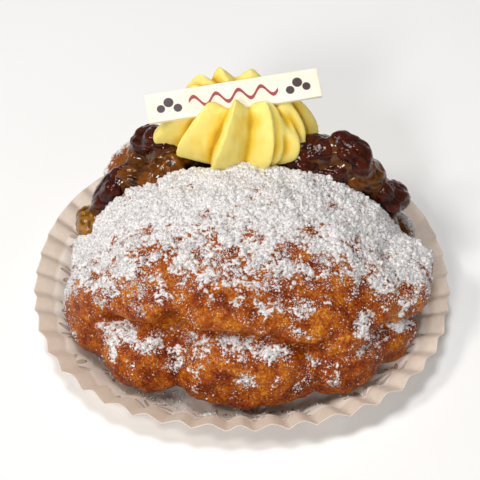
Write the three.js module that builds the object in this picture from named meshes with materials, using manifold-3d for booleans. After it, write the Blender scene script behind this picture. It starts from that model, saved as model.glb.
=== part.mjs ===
// Raisin bun in a fluted paper case: a fried, lobed bun slit across the top, the slit heaped with
// soaked raisins, a piped custard swirl on the raisins and a thin label of white chocolate in it.
// Millimetres, +Z up. The origin is the middle of the case's underside, and -Y is the front.
import * as THREE from 'three';
import { mergeVertices } from 'three/addons/utils/BufferGeometryUtils.js';
import Module from 'manifold-3d';

const wasm = await Module();
wasm.setup();

const DEG = Math.PI / 180;
const FIT_GAP = 0.3;

// Paper case: a flat floor and a low fluted wall that opens outwards
const CASE_FLOOR_RADIUS = 50;
const CASE_BAND_RADIUS = 58;
const CASE_RIM_RADIUS = 63.5;
const CASE_BAND_HEIGHT = 5.6;
const CASE_RIM_HEIGHT = 8.4;
const CASE_PLEATS = 46;
const CASE_STEPS_PER_PLEAT = 4;
const CASE_PLEAT_LIFT = 1.3;
const CASE_PLEAT_PULL = 1.1;
const CASE_SQUARENESS = 0.02;
const PAPER_THICKNESS = 0.6;
const CASE_WALL_RISE = 0.7;

// Bun: one rounded, slightly squared plan for every level
const BUN_CENTRE = new THREE.Vector2(1.8, -2.5);
const BUN_HALF_WIDTH = 54.4;
const BUN_HALF_DEPTH = 50;
const BUN_SQUARENESS = 2.3;
const BUN_BOTTOM = PAPER_THICKNESS + FIT_GAP;
const BUN_TOP = 44.2;
const BUN_SEGMENTS = 86;
const BUN_RINGS = 33;

// Dome of the bun, as shares of the plan and heights: fuller over a fold in front, leaner at the sides
const BUN_FRONT_PROFILE = [
  [0, BUN_BOTTOM], [0.68, BUN_BOTTOM], [0.79, 2.6], [0.85, 5.6], [0.87, 9.2], [0.87, 13], [0.855, 17],
  [0.835, 19.6], [0.87, 21.8], [0.92, 24.4], [0.91, 27.4], [0.85, 30.8], [0.74, 34.6], [0.57, 38.6],
  [0.37, 41.8], [0.17, 43.7], [0, BUN_TOP],
];
const BUN_SIDE_PROFILE = [
  [0, BUN_BOTTOM], [0.68, BUN_BOTTOM], [0.79, 2.6], [0.85, 5.6], [0.87, 9.2], [0.87, 13], [0.86, 16.4],
  [0.85, 19.6], [0.845, 22.6], [0.815, 25.6], [0.76, 29.2], [0.69, 33], [0.59, 36.8], [0.47, 40],
  [0.32, 42.3], [0.16, 43.8], [0, BUN_TOP],
];
const BUN_SIDE_FROM = 0.82;
const BUN_SIDE_FULL = 0.98;

// The dome steps back over the lobes at the front left, where the crease over them climbs
const DOME_STEP = 0.07;
const DOME_STEP_AZIMUTH = 262;
const DOME_STEP_SPREAD = 42;
const DOME_STEP_FROM = 15;
const DOME_STEP_FULL = 22;
const DOME_STEP_GONE = 41;
const CREASE_RISE = 6.5;
const CREASE_AZIMUTH = 257;
const CREASE_SPREAD = 28;
const CREASE_FROM = 10;
const CREASE_FULL = 19;
const CREASE_EASE = 24;
const CREASE_GONE = 42;

// Dents: depth, azimuth and half width in degrees, height, half height, and rise for each degree of azimuth
const PINCH = { depth: 6.5, azimuth: 242.5, spread: 5, height: 27, tall: 9, slope: 0 };
const RIGHT_LEDGE = { depth: 4.5, azimuth: 331, spread: 18, height: 16.5, tall: 2.4, slope: -0.2 };

// The dome's right shoulder is the lower one, and the half behind the slit stands up on the left
const DOME_DROP = 0.1;
const DOME_DROP_FROM = 8;
const DOME_DROP_TO = 50;
const DOME_DROP_LOW = 13;
const DOME_DROP_HIGH = 22;
const BACK_LIFT = 7;
const BACK_LIFT_FROM = new THREE.Vector3(-12, 14, 20);
const BACK_LIFT_FULL = new THREE.Vector3(-34, 26, 30);
const BACK_LIFT_GONE = 38;

// Lobes round the foot: azimuth and half width in degrees, reach as a share of the plan, height of the top.
// Some lean, so that the top is higher at the end of greater azimuth, and one has its own middle and foot.
const LOBE_MIDDLE = 11;
const LOBES = [
  { azimuth: 203, halfWidth: 19, reach: 1, top: 29 },
  { azimuth: 229, halfWidth: 16.5, reach: 1, top: 22.5, lean: 3 },
  { azimuth: 271, halfWidth: 25.5, reach: 1, top: 26.5, lean: -3.5 },
  { azimuth: 306, halfWidth: 14.5, reach: 0.985, top: 28 },
  { azimuth: 328, halfWidth: 15, reach: 0.97, top: 18.5 },
  { azimuth: 352, halfWidth: 16, reach: 0.95, top: 14 },
  { azimuth: 345, halfWidth: 22, reach: 1, top: 31, middle: 17.5, foot: 11 },
  { azimuth: 22, halfWidth: 19, reach: 0.97, top: 21 },
  { azimuth: 61, halfWidth: 24, reach: 1, top: 22 },
  { azimuth: 102, halfWidth: 23, reach: 1, top: 25 },
  { azimuth: 141, halfWidth: 22, reach: 1, top: 22 },
  { azimuth: 174, halfWidth: 17, reach: 0.98, top: 19 },
];

// Slit across the top: an upright front wall and a back wall that leans away
const SLIT_FRONT = 8;
const SLIT_BOTTOM = 12;
const SLIT_BOTTOM_WIDTH = 5;
const SLIT_BACK_SLOPE = 0.52;
const SLIT_TOP = 60;
const SLIT_LENGTH = 130;

// Raisin filling: an arched core in the slit with rows of raisins along its top
const HEAP_CENTRE_X = 1.2;
const HEAP_HALF_WIDTH = 49.5;
const HEAP_FOOT = 11.5;
const HEAP_RISE = 31;
const CORE_HALF_WIDTH = 49.5;
const CORE_SINK = 1.5;
const CORE_STEPS = 20;
const RAISIN_LENGTH = 15;
const RAISIN_WIDTH = 10.6;
const RAISIN_FLATNESS = 0.86;
const RAISIN_SIZE_SPREAD = 0.3;
const RAISIN_SHIFT = 2.2;
const RAISIN_TURN = 65 * DEG;
const RAISIN_TILT = 30 * DEG;
const RAISIN_ROWS = [
  { from: -47, to: -47, y: 9, lift: -2.5, count: 1 },
  { from: -38.5, to: 25.5, y: 11.6, lift: 0.8, count: 8 },
  { from: 36.5, to: 36.5, y: 11.5, lift: 3, count: 1 },
  { from: 44.5, to: 44.5, y: 11.6, lift: 1, count: 1 },
  { from: -27, to: -27, y: 19, lift: 6, count: 1 },
  { from: 21.5, to: 21.5, y: 13.6, lift: 5, count: 1 },
  { from: 31.5, to: 31.5, y: 13.6, lift: 8, count: 1 },
  { from: -28, to: 34, y: 20, lift: 1.6, count: 7 },
];
const RAISIN_SIDES = 8;
const RAISIN_SEED = 1907;

// Custard swirl: piped through a star nozzle, so fins that lean and end in a ring of uneven tips
const SWIRL_CENTRE = new THREE.Vector2(-1, 20);
const SWIRL_HALF_WIDTH = 22;
const SWIRL_HALF_DEPTH = 16.5;
const SWIRL_FOOT = 41.5;
const SWIRL_TOP = 58;
const SWIRL_FIN_SPACING = 22;
const SWIRL_FLANK_SWELL = -0.1;
const SWIRL_TIP_FROM = 47.5;
const SWIRL_TIP_FULL = 62;
const SWIRL_STEPS_PER_FIN = 4;
const SWIRL_RINGS = 13;
const SWIRL_TWIST = 13 * DEG;
const SWIRL_COVER = 0.8;
const SWIRL_RIDGE = [
  [0, SWIRL_FOOT], [0.5, SWIRL_FOOT], [0.82, SWIRL_FOOT], [1, 44.5], [1.04, 48.5], [0.97, 53.2],
  [0.82, 58.4], [0.6, 63], [0.38, 60.6], [0.16, 58.4], [0, SWIRL_TOP],
];
const SWIRL_VALLEY = [
  [0, SWIRL_FOOT], [0.4, SWIRL_FOOT], [0.66, SWIRL_FOOT], [0.75, 44.5], [0.76, 48.5], [0.72, 52.6],
  [0.64, 56.6], [0.53, 59.6], [0.36, 59.2], [0.16, 58.2], [0, SWIRL_TOP],
];

// Fins of the swirl: azimuth of the groove where each starts, place of its ridge on the way to the next
// groove, reach, and how far its tip and its foot rise. The rounder ones have a swell of their own.
const SWIRL_FINS = [
  { groove: 5, ridge: 0.5, reach: 1, tip: -1.5, foot: 1 },
  { groove: 40, ridge: 0.45, reach: 1.03, tip: -0.8, foot: 0 },
  { groove: 80, ridge: 0.55, reach: 0.97, tip: 0.8, foot: 0 },
  { groove: 114, ridge: 0.5, reach: 1.03, tip: 0.2, foot: 0 },
  { groove: 144, ridge: 0.5, reach: 0.98, tip: -0.5, foot: 1 },
  { groove: 170, ridge: 0.75, reach: 1.12, tip: -4, foot: 3, swell: 1.8 },
  { groove: 204, ridge: 0.3, reach: 1.03, tip: -0.6, foot: 3.5 },
  { groove: 240, ridge: 0.24, reach: 1.04, tip: 2, foot: 0 },
  { groove: 273, ridge: 0.8, reach: 0.98, tip: 0, foot: 1 },
  { groove: 295, ridge: 0.6, reach: 0.93, tip: -2, foot: 1.5 },
  { groove: 306, ridge: 0.5, reach: 1.02, tip: -6.5, foot: 1, swell: 1 },
  { groove: 324, ridge: 0.4, reach: 0.95, tip: -1.5, foot: 2 },
  { groove: 341, ridge: 0.45, reach: 1.05, tip: -2.5, foot: 2.5 },
];

// White chocolate label: a thin plate that leans back in the swirl
const LABEL_LENGTH = 50;
const LABEL_HEIGHT = 8.8;
const LABEL_THICKNESS = 1.4;
const LABEL_CORNER = 0.5;
const LABEL_CENTRE = new THREE.Vector3(-2.4, 17.5, 60.7);
const LABEL_LEAN = 33 * DEG;
const LABEL_ROLL = 8.4 * DEG;
const LABEL_YAW = 2 * DEG;

// Draws that repeat on every run, each up to half the asked width either side of zero
function seededSpread(seed) {
  const [step, modulus] = [16807, 2147483647];
  let state = (seed * step * step) % modulus;
  return (width) => {
    state = (state * step) % modulus;
    return width * (state / modulus - 0.5);
  };
}

function fade(from, to, value) {
  return THREE.MathUtils.smoothstep(value, from, to);
}

// Keeps only the positions, with shared corners merged and collapsed triangles dropped
function weld(geometry) {
  const plain = geometry.clone();
  plain.deleteAttribute('normal');
  plain.deleteAttribute('uv');
  const merged = mergeVertices(plain, 1e-3);
  const index = merged.index.array;
  const kept = [];
  for (let i = 0; i < index.length; i += 3) {
    const [a, b, c] = [index[i], index[i + 1], index[i + 2]];
    if (a !== b && b !== c && c !== a) kept.push(a, b, c);
  }
  merged.setIndex(kept);
  return merged;
}

function toSolid(geometry) {
  const welded = weld(geometry);
  return new wasm.Manifold(new wasm.Mesh({
    numProp: 3,
    vertProperties: new Float32Array(welded.attributes.position.array),
    triVerts: new Uint32Array(welded.index.array),
  }));
}

// Drops the loose scraps that a cut leaves
function largestBody(solid) {
  return solid.decompose().reduce((most, body) => (body.volume() > most.volume() ? body : most));
}

function toGeometry(solid) {
  const mesh = solid.getMesh();
  const geometry = new THREE.BufferGeometry();
  geometry.setAttribute('position', new THREE.BufferAttribute(mesh.vertProperties, 3));
  geometry.setIndex(new THREE.BufferAttribute(mesh.triVerts, 1));
  geometry.computeVertexNormals();
  return geometry;
}

// A turned shape whose every point is then moved by shape(point, azimuth, radius, ring)
function turnedShape(profile, segments, shape) {
  const geometry = new THREE.LatheGeometry(profile, segments);
  geometry.rotateX(Math.PI / 2);
  const position = geometry.attributes.position;
  const point = new THREE.Vector3();
  for (let i = 0; i < position.count; i += 1) {
    point.fromBufferAttribute(position, i);
    const radius = Math.hypot(point.x, point.y);
    const azimuth = radius > 1e-6 ? Math.atan2(point.y, point.x) : 0;
    shape(point, azimuth, radius, i % profile.length);
    position.setXYZ(i, point.x, point.y, point.z);
  }
  return weld(geometry);
}

function caseGeometry() {
  const wall = [
    [CASE_FLOOR_RADIUS, 0],
    [(CASE_FLOOR_RADIUS + CASE_BAND_RADIUS) / 2, CASE_BAND_HEIGHT / 2],
    [CASE_BAND_RADIUS, CASE_BAND_HEIGHT],
    [CASE_RIM_RADIUS, CASE_RIM_HEIGHT],
  ];
  const underside = wall.map(([r, z]) => new THREE.Vector2(r, z));
  const inside = wall.map(([r, z]) => new THREE.Vector2(r, z + (z > 0 ? CASE_WALL_RISE : PAPER_THICKNESS)));
  const profile = [
    new THREE.Vector2(0, 0),
    ...underside,
    ...inside.reverse(),
    new THREE.Vector2(0, PAPER_THICKNESS),
  ];
  return turnedShape(profile, CASE_PLEATS * CASE_STEPS_PER_PLEAT, (point, azimuth, radius) => {
    const opened = fade(CASE_FLOOR_RADIUS, CASE_RIM_RADIUS, radius);
    const crest = Math.abs(Math.sin(azimuth * CASE_PLEATS / 2));
    const squared = radius * (1 - CASE_SQUARENESS * opened * Math.cos(4 * azimuth));
    const pulled = squared - CASE_PLEAT_PULL * opened * crest;
    point.x = pulled * Math.cos(azimuth);
    point.y = pulled * Math.sin(azimuth);
    point.z += CASE_PLEAT_LIFT * opened * crest;
  });
}

function bunPlanRadius(azimuth) {
  const across = Math.abs(Math.cos(azimuth) / BUN_HALF_WIDTH) ** BUN_SQUARENESS;
  const along = Math.abs(Math.sin(azimuth) / BUN_HALF_DEPTH) ** BUN_SQUARENESS;
  return (across + along) ** (-1 / BUN_SQUARENESS);
}

// Degrees from one azimuth to another, from -180 to 180
function turnFrom(degrees, azimuth) {
  return THREE.MathUtils.euclideanModulo(azimuth / DEG - degrees + 180, 360) - 180;
}

// 1 at the middle of a lobe, falling roundly to 0 at its edges
function lobeBulge(lobe, azimuth, height) {
  const { lean = 0, middle = LOBE_MIDDLE, foot = BUN_BOTTOM } = lobe;
  const aside = turnFrom(lobe.azimuth, azimuth) / lobe.halfWidth;
  const top = lobe.top + lean * THREE.MathUtils.clamp(aside, -1, 1);
  const above = Math.max(0, height - middle) / (top - middle);
  const below = Math.max(0, middle - height) / (middle - foot);
  return Math.sqrt(Math.max(0, 1 - aside ** 2 - above ** 2 - below ** 2));
}

// How far the dome stands back from the lobes, as a share of the plan
function domeStep(azimuth, height) {
  const near = Math.exp(-((turnFrom(DOME_STEP_AZIMUTH, azimuth) / DOME_STEP_SPREAD) ** 2));
  const rising = fade(DOME_STEP_FROM, DOME_STEP_FULL, height);
  return DOME_STEP * near * rising * (1 - fade(DOME_STEP_FULL, DOME_STEP_GONE, height));
}

// Height of the dome's surface, raised where the crease climbs
function creasedHeight(azimuth, height) {
  const near = Math.exp(-((turnFrom(CREASE_AZIMUTH, azimuth) / CREASE_SPREAD) ** 2));
  const rising = fade(CREASE_FROM, CREASE_FULL, height);
  return height + CREASE_RISE * near * rising * (1 - fade(CREASE_EASE, CREASE_GONE, height));
}

// How far a dent presses the bun in
function dentDepth(dent, azimuth, height) {
  const turn = turnFrom(dent.azimuth, azimuth);
  const above = (height - dent.height - dent.slope * turn) / dent.tall;
  return dent.depth * Math.exp(-((turn / dent.spread) ** 2) - above ** 2);
}

// Height of the bun's surface at a place, after the drop on the right and the lift behind the slit
function settledHeight(x, y, height) {
  const rightward = fade(DOME_DROP_FROM, DOME_DROP_TO, x);
  const drop = DOME_DROP * rightward * fade(DOME_DROP_LOW, DOME_DROP_HIGH, height);
  const leftward = fade(-BACK_LIFT_FROM.x, -BACK_LIFT_FULL.x, -x);
  const behind = fade(BACK_LIFT_FROM.y, BACK_LIFT_FULL.y, y);
  const onDome = fade(BACK_LIFT_FROM.z, BACK_LIFT_FULL.z, height);
  const belowTop = 1 - fade(BACK_LIFT_GONE, BUN_TOP, height);
  return height * (1 - drop) + BACK_LIFT * leftward * behind * onDome * belowTop;
}

// A smooth line through the given shares and heights, on the axis at both ends
function sideProfile(points, rings) {
  const curve = new THREE.SplineCurve(points.map(([share, z]) => new THREE.Vector2(share, z)));
  const line = curve.getPoints(rings);
  for (const point of line) {
    point.y = Math.max(point.y, points[0][1]);
  }
  line[0].x = 0;
  line[rings].x = 0;
  return line;
}

// The bun's outer form, swelled by grow on every side
function bunForm(grow) {
  const front = sideProfile(BUN_FRONT_PROFILE, BUN_RINGS);
  const side = sideProfile(BUN_SIDE_PROFILE, BUN_RINGS);
  return turnedShape(front, BUN_SEGMENTS, (point, azimuth, radius, ring) => {
    const sideward = fade(BUN_SIDE_FROM, BUN_SIDE_FULL, Math.abs(Math.cos(azimuth)));
    const dome = front[ring].clone().lerp(side[ring], sideward);
    const height = creasedHeight(azimuth, dome.y);
    const share = dome.x * (1 - domeStep(azimuth, height));
    const bulges = LOBES.map((lobe) => (lobe.reach - share) * lobeBulge(lobe, azimuth, height));
    const reach = share + Math.max(...bulges);
    const dents = dentDepth(PINCH, azimuth, height) + dentDepth(RIGHT_LEDGE, azimuth, height);
    const out = reach * (bunPlanRadius(azimuth) + grow - dents);
    point.x = BUN_CENTRE.x + out * Math.cos(azimuth);
    point.y = BUN_CENTRE.y + out * Math.sin(azimuth);
    point.z = settledHeight(point.x, point.y, height) + (dome.y > LOBE_MIDDLE ? grow : -grow);
  });
}

function slitBack(z) {
  return SLIT_FRONT + SLIT_BOTTOM_WIDTH + SLIT_BACK_SLOPE * (z - SLIT_BOTTOM);
}

// A wedge along X between the slit's walls, drawn in from each wall by inset
function slitWedge(inset) {
  const bottom = SLIT_BOTTOM + inset;
  const outline = new THREE.Shape([
    new THREE.Vector2(SLIT_FRONT + inset, bottom),
    new THREE.Vector2(slitBack(bottom) - inset, bottom),
    new THREE.Vector2(slitBack(SLIT_TOP) - inset, SLIT_TOP),
    new THREE.Vector2(SLIT_FRONT + inset, SLIT_TOP),
  ]);
  const geometry = new THREE.ExtrudeGeometry(outline, { depth: SLIT_LENGTH, bevelEnabled: false });
  // The outline's x becomes Y, its y becomes Z and the extrusion runs along X
  geometry.rotateX(Math.PI / 2);
  geometry.rotateZ(Math.PI / 2);
  geometry.translate(-SLIT_LENGTH / 2, 0, 0);
  return toSolid(geometry);
}

function bunSolid(grow) {
  return toSolid(bunForm(grow)).subtract(slitWedge(grow));
}

function heapHeight(x, halfWidth) {
  const share = Math.min(1, Math.abs((x - HEAP_CENTRE_X) / halfWidth));
  return HEAP_FOOT + HEAP_RISE * Math.sqrt(1 - share * share);
}

// The arched slab that fills the slit under the raisins
function heapCore(grow) {
  const halfWidth = CORE_HALF_WIDTH + grow;
  const arch = new THREE.Shape();
  arch.moveTo(HEAP_CENTRE_X + halfWidth, HEAP_FOOT - 2 * CORE_SINK);
  for (let i = 0; i <= CORE_STEPS; i += 1) {
    const x = HEAP_CENTRE_X + halfWidth * Math.cos(Math.PI * i / CORE_STEPS);
    arch.lineTo(x, heapHeight(x, halfWidth) - CORE_SINK + grow);
  }
  arch.lineTo(HEAP_CENTRE_X - halfWidth, HEAP_FOOT - 2 * CORE_SINK);
  const depth = slitBack(SLIT_TOP);
  const geometry = new THREE.ExtrudeGeometry(arch, { depth, bevelEnabled: false });
  geometry.rotateX(Math.PI / 2);
  geometry.translate(0, depth, 0);
  return toSolid(geometry).intersect(slitWedge(FIT_GAP - grow));
}

// One raisin: a plump oval laid along the heap with its own length, width and turn
function raisin(spread, place) {
  const length = RAISIN_LENGTH * (1 + spread(RAISIN_SIZE_SPREAD)) / 2;
  const width = RAISIN_WIDTH * (1 + spread(RAISIN_SIZE_SPREAD)) / 2;
  const geometry = new THREE.SphereGeometry(1, RAISIN_SIDES, RAISIN_SIDES - 2);
  geometry.scale(length, width, width * RAISIN_FLATNESS);
  geometry.rotateY(spread(RAISIN_TURN));
  geometry.rotateZ(spread(RAISIN_TURN));
  geometry.rotateY(place.fall + spread(RAISIN_TILT));
  geometry.translate(place.x, place.y, place.z);
  return toSolid(geometry);
}

// Rows of places along the heap, each with the angle at which the heap falls away there
function raisinPlaces(spread) {
  const places = [];
  for (const row of RAISIN_ROWS) {
    for (let i = 0; i < row.count; i += 1) {
      const along = THREE.MathUtils.lerp(row.from, row.to, row.count > 1 ? i / (row.count - 1) : 0);
      const x = along + spread(RAISIN_SHIFT);
      const y = row.y + spread(RAISIN_SHIFT);
      const z = heapHeight(x, HEAP_HALF_WIDTH) + row.lift + spread(RAISIN_SHIFT);
      const share = THREE.MathUtils.clamp((along - HEAP_CENTRE_X) / HEAP_HALF_WIDTH, -1, 1);
      places.push({ x, y, z, fall: Math.asin(share) * HEAP_RISE / HEAP_HALF_WIDTH });
    }
  }
  return places;
}

function underSwirl(place) {
  const across = (place.x - SWIRL_CENTRE.x) / SWIRL_HALF_WIDTH;
  const along = (place.y - SWIRL_CENTRE.y) / SWIRL_HALF_DEPTH;
  return Math.hypot(across, along) < SWIRL_COVER;
}

function raisinHeap() {
  const spread = seededSpread(RAISIN_SEED);
  let heap = heapCore(0);
  for (const place of raisinPlaces(spread)) {
    const one = raisin(spread, place);
    if (!underSwirl(place)) heap = heap.add(one);
  }
  return heap;
}

// Degrees from the groove before a fin to the groove behind it
function finWidth(number) {
  const next = SWIRL_FINS[(number + 1) % SWIRL_FINS.length];
  return THREE.MathUtils.euclideanModulo(next.groove - SWIRL_FINS[number].groove, 360);
}

// Grooves are shallower beside narrow fins
function grooveDepth(number) {
  const before = (number + SWIRL_FINS.length - 1) % SWIRL_FINS.length;
  return Math.min(1, finWidth(before) / SWIRL_FIN_SPACING, finWidth(number) / SWIRL_FIN_SPACING);
}

// One step round the swirl: its fin, azimuth in degrees, rise from groove to ridge, and fullness there
function finStep(step) {
  const number = Math.floor(step / SWIRL_STEPS_PER_FIN);
  const fin = SWIRL_FINS[number];
  const way = 2 * (step % SWIRL_STEPS_PER_FIN) / SWIRL_STEPS_PER_FIN;
  const rising = way < 1;
  const climb = rising ? way : 2 - way;
  const flank = rising ? fin.ridge : 1 - fin.ridge;
  const ahead = rising ? flank * climb : 1 - flank * climb;
  const { swell = SWIRL_FLANK_SWELL } = fin;
  const rib = climb * (1 + swell * flank * (1 - climb));
  const depth = grooveDepth(rising ? number : (number + 1) % SWIRL_FINS.length);
  return { fin, rib, full: 1 - depth * (1 - rib), azimuth: fin.groove + finWidth(number) * ahead };
}

// The swirl's outer form, swelled by grow on every side
function swirlForm(grow) {
  const ridge = sideProfile(SWIRL_RIDGE, SWIRL_RINGS);
  const valley = sideProfile(SWIRL_VALLEY, SWIRL_RINGS);
  const steps = SWIRL_FINS.length * SWIRL_STEPS_PER_FIN;
  return turnedShape(ridge, steps, (point, angle, radius, ring) => {
    const step = THREE.MathUtils.euclideanModulo(Math.round(angle / (2 * Math.PI) * steps), steps);
    const { fin, rib, full, azimuth } = finStep(step);
    const out = THREE.MathUtils.lerp(valley[ring].x, ridge[ring].x, full) * (1 + rib * (fin.reach - 1));
    const level = THREE.MathUtils.lerp(valley[ring].y, ridge[ring].y, full);
    const tipped = level + rib * fin.tip * fade(SWIRL_TIP_FROM, SWIRL_TIP_FULL, level);
    const z = Math.max(tipped, SWIRL_FOOT + rib * fin.foot);
    const turn = azimuth * DEG + SWIRL_TWIST * (z - SWIRL_FOOT) / (SWIRL_TOP - SWIRL_FOOT);
    point.x = SWIRL_CENTRE.x + out * (SWIRL_HALF_WIDTH + grow) * Math.cos(turn);
    point.y = SWIRL_CENTRE.y + out * (SWIRL_HALF_DEPTH + grow) * Math.sin(turn);
    point.z = z + (ring > SWIRL_RINGS / 2 ? grow : -grow);
  });
}

// The label's plate, swelled by grow on every side, flat in XY before it is placed
function labelGeometry(grow) {
  const [x, y, r] = [LABEL_LENGTH / 2 + grow, LABEL_HEIGHT / 2 + grow, LABEL_CORNER + grow];
  const outline = new THREE.Shape();
  outline.absarc(x - r, y - r, r, 0, Math.PI / 2);
  outline.absarc(-x + r, y - r, r, Math.PI / 2, Math.PI);
  outline.absarc(-x + r, -y + r, r, Math.PI, 1.5 * Math.PI);
  outline.absarc(x - r, -y + r, r, 1.5 * Math.PI, 2 * Math.PI);
  const depth = LABEL_THICKNESS + 2 * grow;
  const geometry = new THREE.ExtrudeGeometry(outline, { depth, bevelEnabled: false, curveSegments: 3 });
  geometry.translate(0, 0, -depth / 2);
  geometry.rotateZ(LABEL_ROLL);
  return geometry;
}

function finish(color, roughness) {
  return new THREE.MeshStandardMaterial({ color, roughness, metalness: 0 });
}

function piece(name, geometry, material) {
  const mesh = new THREE.Mesh(geometry, material);
  mesh.name = name;
  return mesh;
}

const label = piece('label_plaque', weld(labelGeometry(0)), finish('#f8ebcd', 0.45));
label.position.copy(LABEL_CENTRE);
label.rotation.set(LABEL_LEAN, 0, LABEL_YAW, 'ZXY');
label.updateMatrix();

const bunWithGap = bunSolid(FIT_GAP);
const labelWithGap = toSolid(labelGeometry(FIT_GAP).applyMatrix4(label.matrix));
const swirlOnHeap = toSolid(swirlForm(0)).subtract(bunWithGap).subtract(heapCore(FIT_GAP));
const swirl = largestBody(swirlOnHeap.subtract(labelWithGap));
const swirlWithGap = toSolid(swirlForm(FIT_GAP)).subtract(heapCore(0));
const filling = largestBody(raisinHeap().subtract(bunWithGap).subtract(swirlWithGap));

const raisinBun = new THREE.Group();
raisinBun.add(
  piece('paper_case', caseGeometry(), finish('#dacdc4', 0.9)),
  piece('bun', toGeometry(bunSolid(0)), finish('#a65a26', 0.6)),
  piece('raisin_filling', toGeometry(filling), finish('#5a2a16', 0.25)),
  piece('custard_swirl', toGeometry(swirl), finish('#f3d261', 0.5)),
  label,
);

export default raisinBun;
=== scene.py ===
import math
from collections import namedtuple
from functools import partial

import bmesh
import bpy
import numpy as np
from mathutils import Matrix, Vector


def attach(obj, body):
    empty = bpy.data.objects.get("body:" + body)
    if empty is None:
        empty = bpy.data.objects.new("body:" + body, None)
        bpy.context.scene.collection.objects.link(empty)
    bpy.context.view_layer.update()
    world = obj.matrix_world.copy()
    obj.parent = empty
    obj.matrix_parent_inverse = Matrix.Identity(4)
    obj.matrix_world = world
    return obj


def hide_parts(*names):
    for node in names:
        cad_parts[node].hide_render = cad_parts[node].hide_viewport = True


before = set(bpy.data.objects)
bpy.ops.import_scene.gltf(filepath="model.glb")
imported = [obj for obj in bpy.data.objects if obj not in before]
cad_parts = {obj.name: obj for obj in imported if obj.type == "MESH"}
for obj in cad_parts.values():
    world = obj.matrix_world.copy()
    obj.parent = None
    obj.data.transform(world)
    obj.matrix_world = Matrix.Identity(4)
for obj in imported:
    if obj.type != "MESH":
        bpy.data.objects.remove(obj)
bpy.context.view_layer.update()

# Raisin bun: a fried, sugared bun in a fluted paper case, filled with soaked raisins and piped custard.
# All sizes are in millimetres and are turned to metres when a mesh is made.

MM = 0.001
FULL_TURN = 2 * math.pi

# One layer of noise on a surface: its height, the size of its lumps and its seed
Layer = namedtuple("Layer", "height size seed")

# Paper case
CASE_INNER_RADIUS = 4
CASE_FLOOR_RADIUS = 50
CASE_FLOOR_RINGS = 8
CASE_WALL_RINGS = 30
CASE_WALL_RISE = 0.25
CASE_BAND_RADIUS = 58
CASE_BAND_EDGE = 0.4
CASE_BAND_HEIGHT = 5.6
CASE_RIM_RADIUS = 63.5
CASE_RIM_HEIGHT = 8.4
CASE_SQUARENESS = 0.02
CASE_PLEATS = 46
CASE_STEPS_PER_PLEAT = 10
CASE_PLEAT_START = 47
CASE_PLEATED_RADIUS = 58
CASE_PLEAT_FLATNESS = 0.4
CASE_PLEAT_LIFT = 1.5
CASE_PLEAT_PULL = 1.1

# Unevenness of the pleats: the circles along which its noise is read, and how far places and heights vary
PLEAT_PLACE_CIRCLE = 9
PLEAT_PLACE_SEED = 3
PLEAT_PLACE_SPREAD = 0.15
PLEAT_HEIGHT_CIRCLE = 11
PLEAT_HEIGHT_SEED = 4
PLEAT_HEIGHT_MEAN = 0.95
PLEAT_HEIGHT_SPREAD = 0.1

# Daisies printed on the paper, with distances from the middle of a flower or in from the edge of a petal
DAISY_SPACING = 13.5
DAISY_SCATTER = 0.6
DAISY_PETALS = 11
DAISY_PETAL_LENGTHS = (1.2, 5.8)
DAISY_PETAL_GAP = 0.25
DAISY_HEART_EDGE = (1.0, 1.3)
DAISY_BLUR = 0.25
DAISY_INK = 0.5
DAISY_OUTLINE = (0.4, 0.8)
DAISY_OUTLINE_INK = 0.35

# Fried bun
BUN_CENTRE = (1.8, -2.5)
BUN_HALF_WIDTH = 54.4
BUN_HALF_DEPTH = 50
BUN_SQUARENESS = 2.3
BUN_BOTTOM = 0.9
BUN_TOP = 44.2
BUN_FOOT_PROFILE = [(0, BUN_BOTTOM), (0.68, BUN_BOTTOM), (0.79, 2.6), (0.85, 5.6), (0.87, 9.2), (0.87, 13)]
BUN_FRONT_PROFILE = BUN_FOOT_PROFILE + [
    (0.855, 17), (0.835, 19.6), (0.87, 21.8), (0.92, 24.4), (0.91, 27.4), (0.85, 30.8), (0.74, 34.6),
    (0.57, 38.6), (0.37, 41.8), (0.17, 43.7), (0, BUN_TOP),
]
BUN_SIDE_PROFILE = BUN_FOOT_PROFILE + [
    (0.86, 16.4), (0.85, 19.6), (0.845, 22.6), (0.815, 25.6), (0.76, 29.2), (0.69, 33), (0.59, 36.8),
    (0.47, 40), (0.32, 42.3), (0.16, 43.8), (0, BUN_TOP),
]
BUN_SIDE_FROM = 0.82
BUN_SIDE_FULL = 0.98
BUN_RINGS = 170
BUN_SEGMENTS = 420
BUN_VOXEL = 0.67
DOME_STEP = 0.07
DOME_STEP_AZIMUTH = 262
DOME_STEP_SPREAD = 42
DOME_STEP_FROM = 15
DOME_STEP_FULL = 22
DOME_STEP_GONE = 41
CREASE_RISE = 6.5
CREASE_AZIMUTH = 257
CREASE_SPREAD = 28
CREASE_FROM = 10
CREASE_FULL = 19
CREASE_EASE = 24
CREASE_GONE = 42
DOME_DROP = 0.1
DOME_DROP_FROM = 8
DOME_DROP_TO = 50
DOME_DROP_LOW = 13
DOME_DROP_HIGH = 22
BACK_LIFT = 7
BACK_LIFT_FROM = (-12, 14, 20)
BACK_LIFT_FULL = (-34, 26, 30)
BACK_LIFT_GONE = 38

# Dents in the bun: depth, azimuth and half width in degrees, height, half height, and rise for each degree
Dent = namedtuple("Dent", "depth azimuth spread height tall slope", defaults=(0,))
PINCH = Dent(6.5, 242.5, 5, 27, 9)
RIGHT_LEDGE = Dent(4.5, 331, 18, 16.5, 2.4, slope=-0.2)

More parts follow.
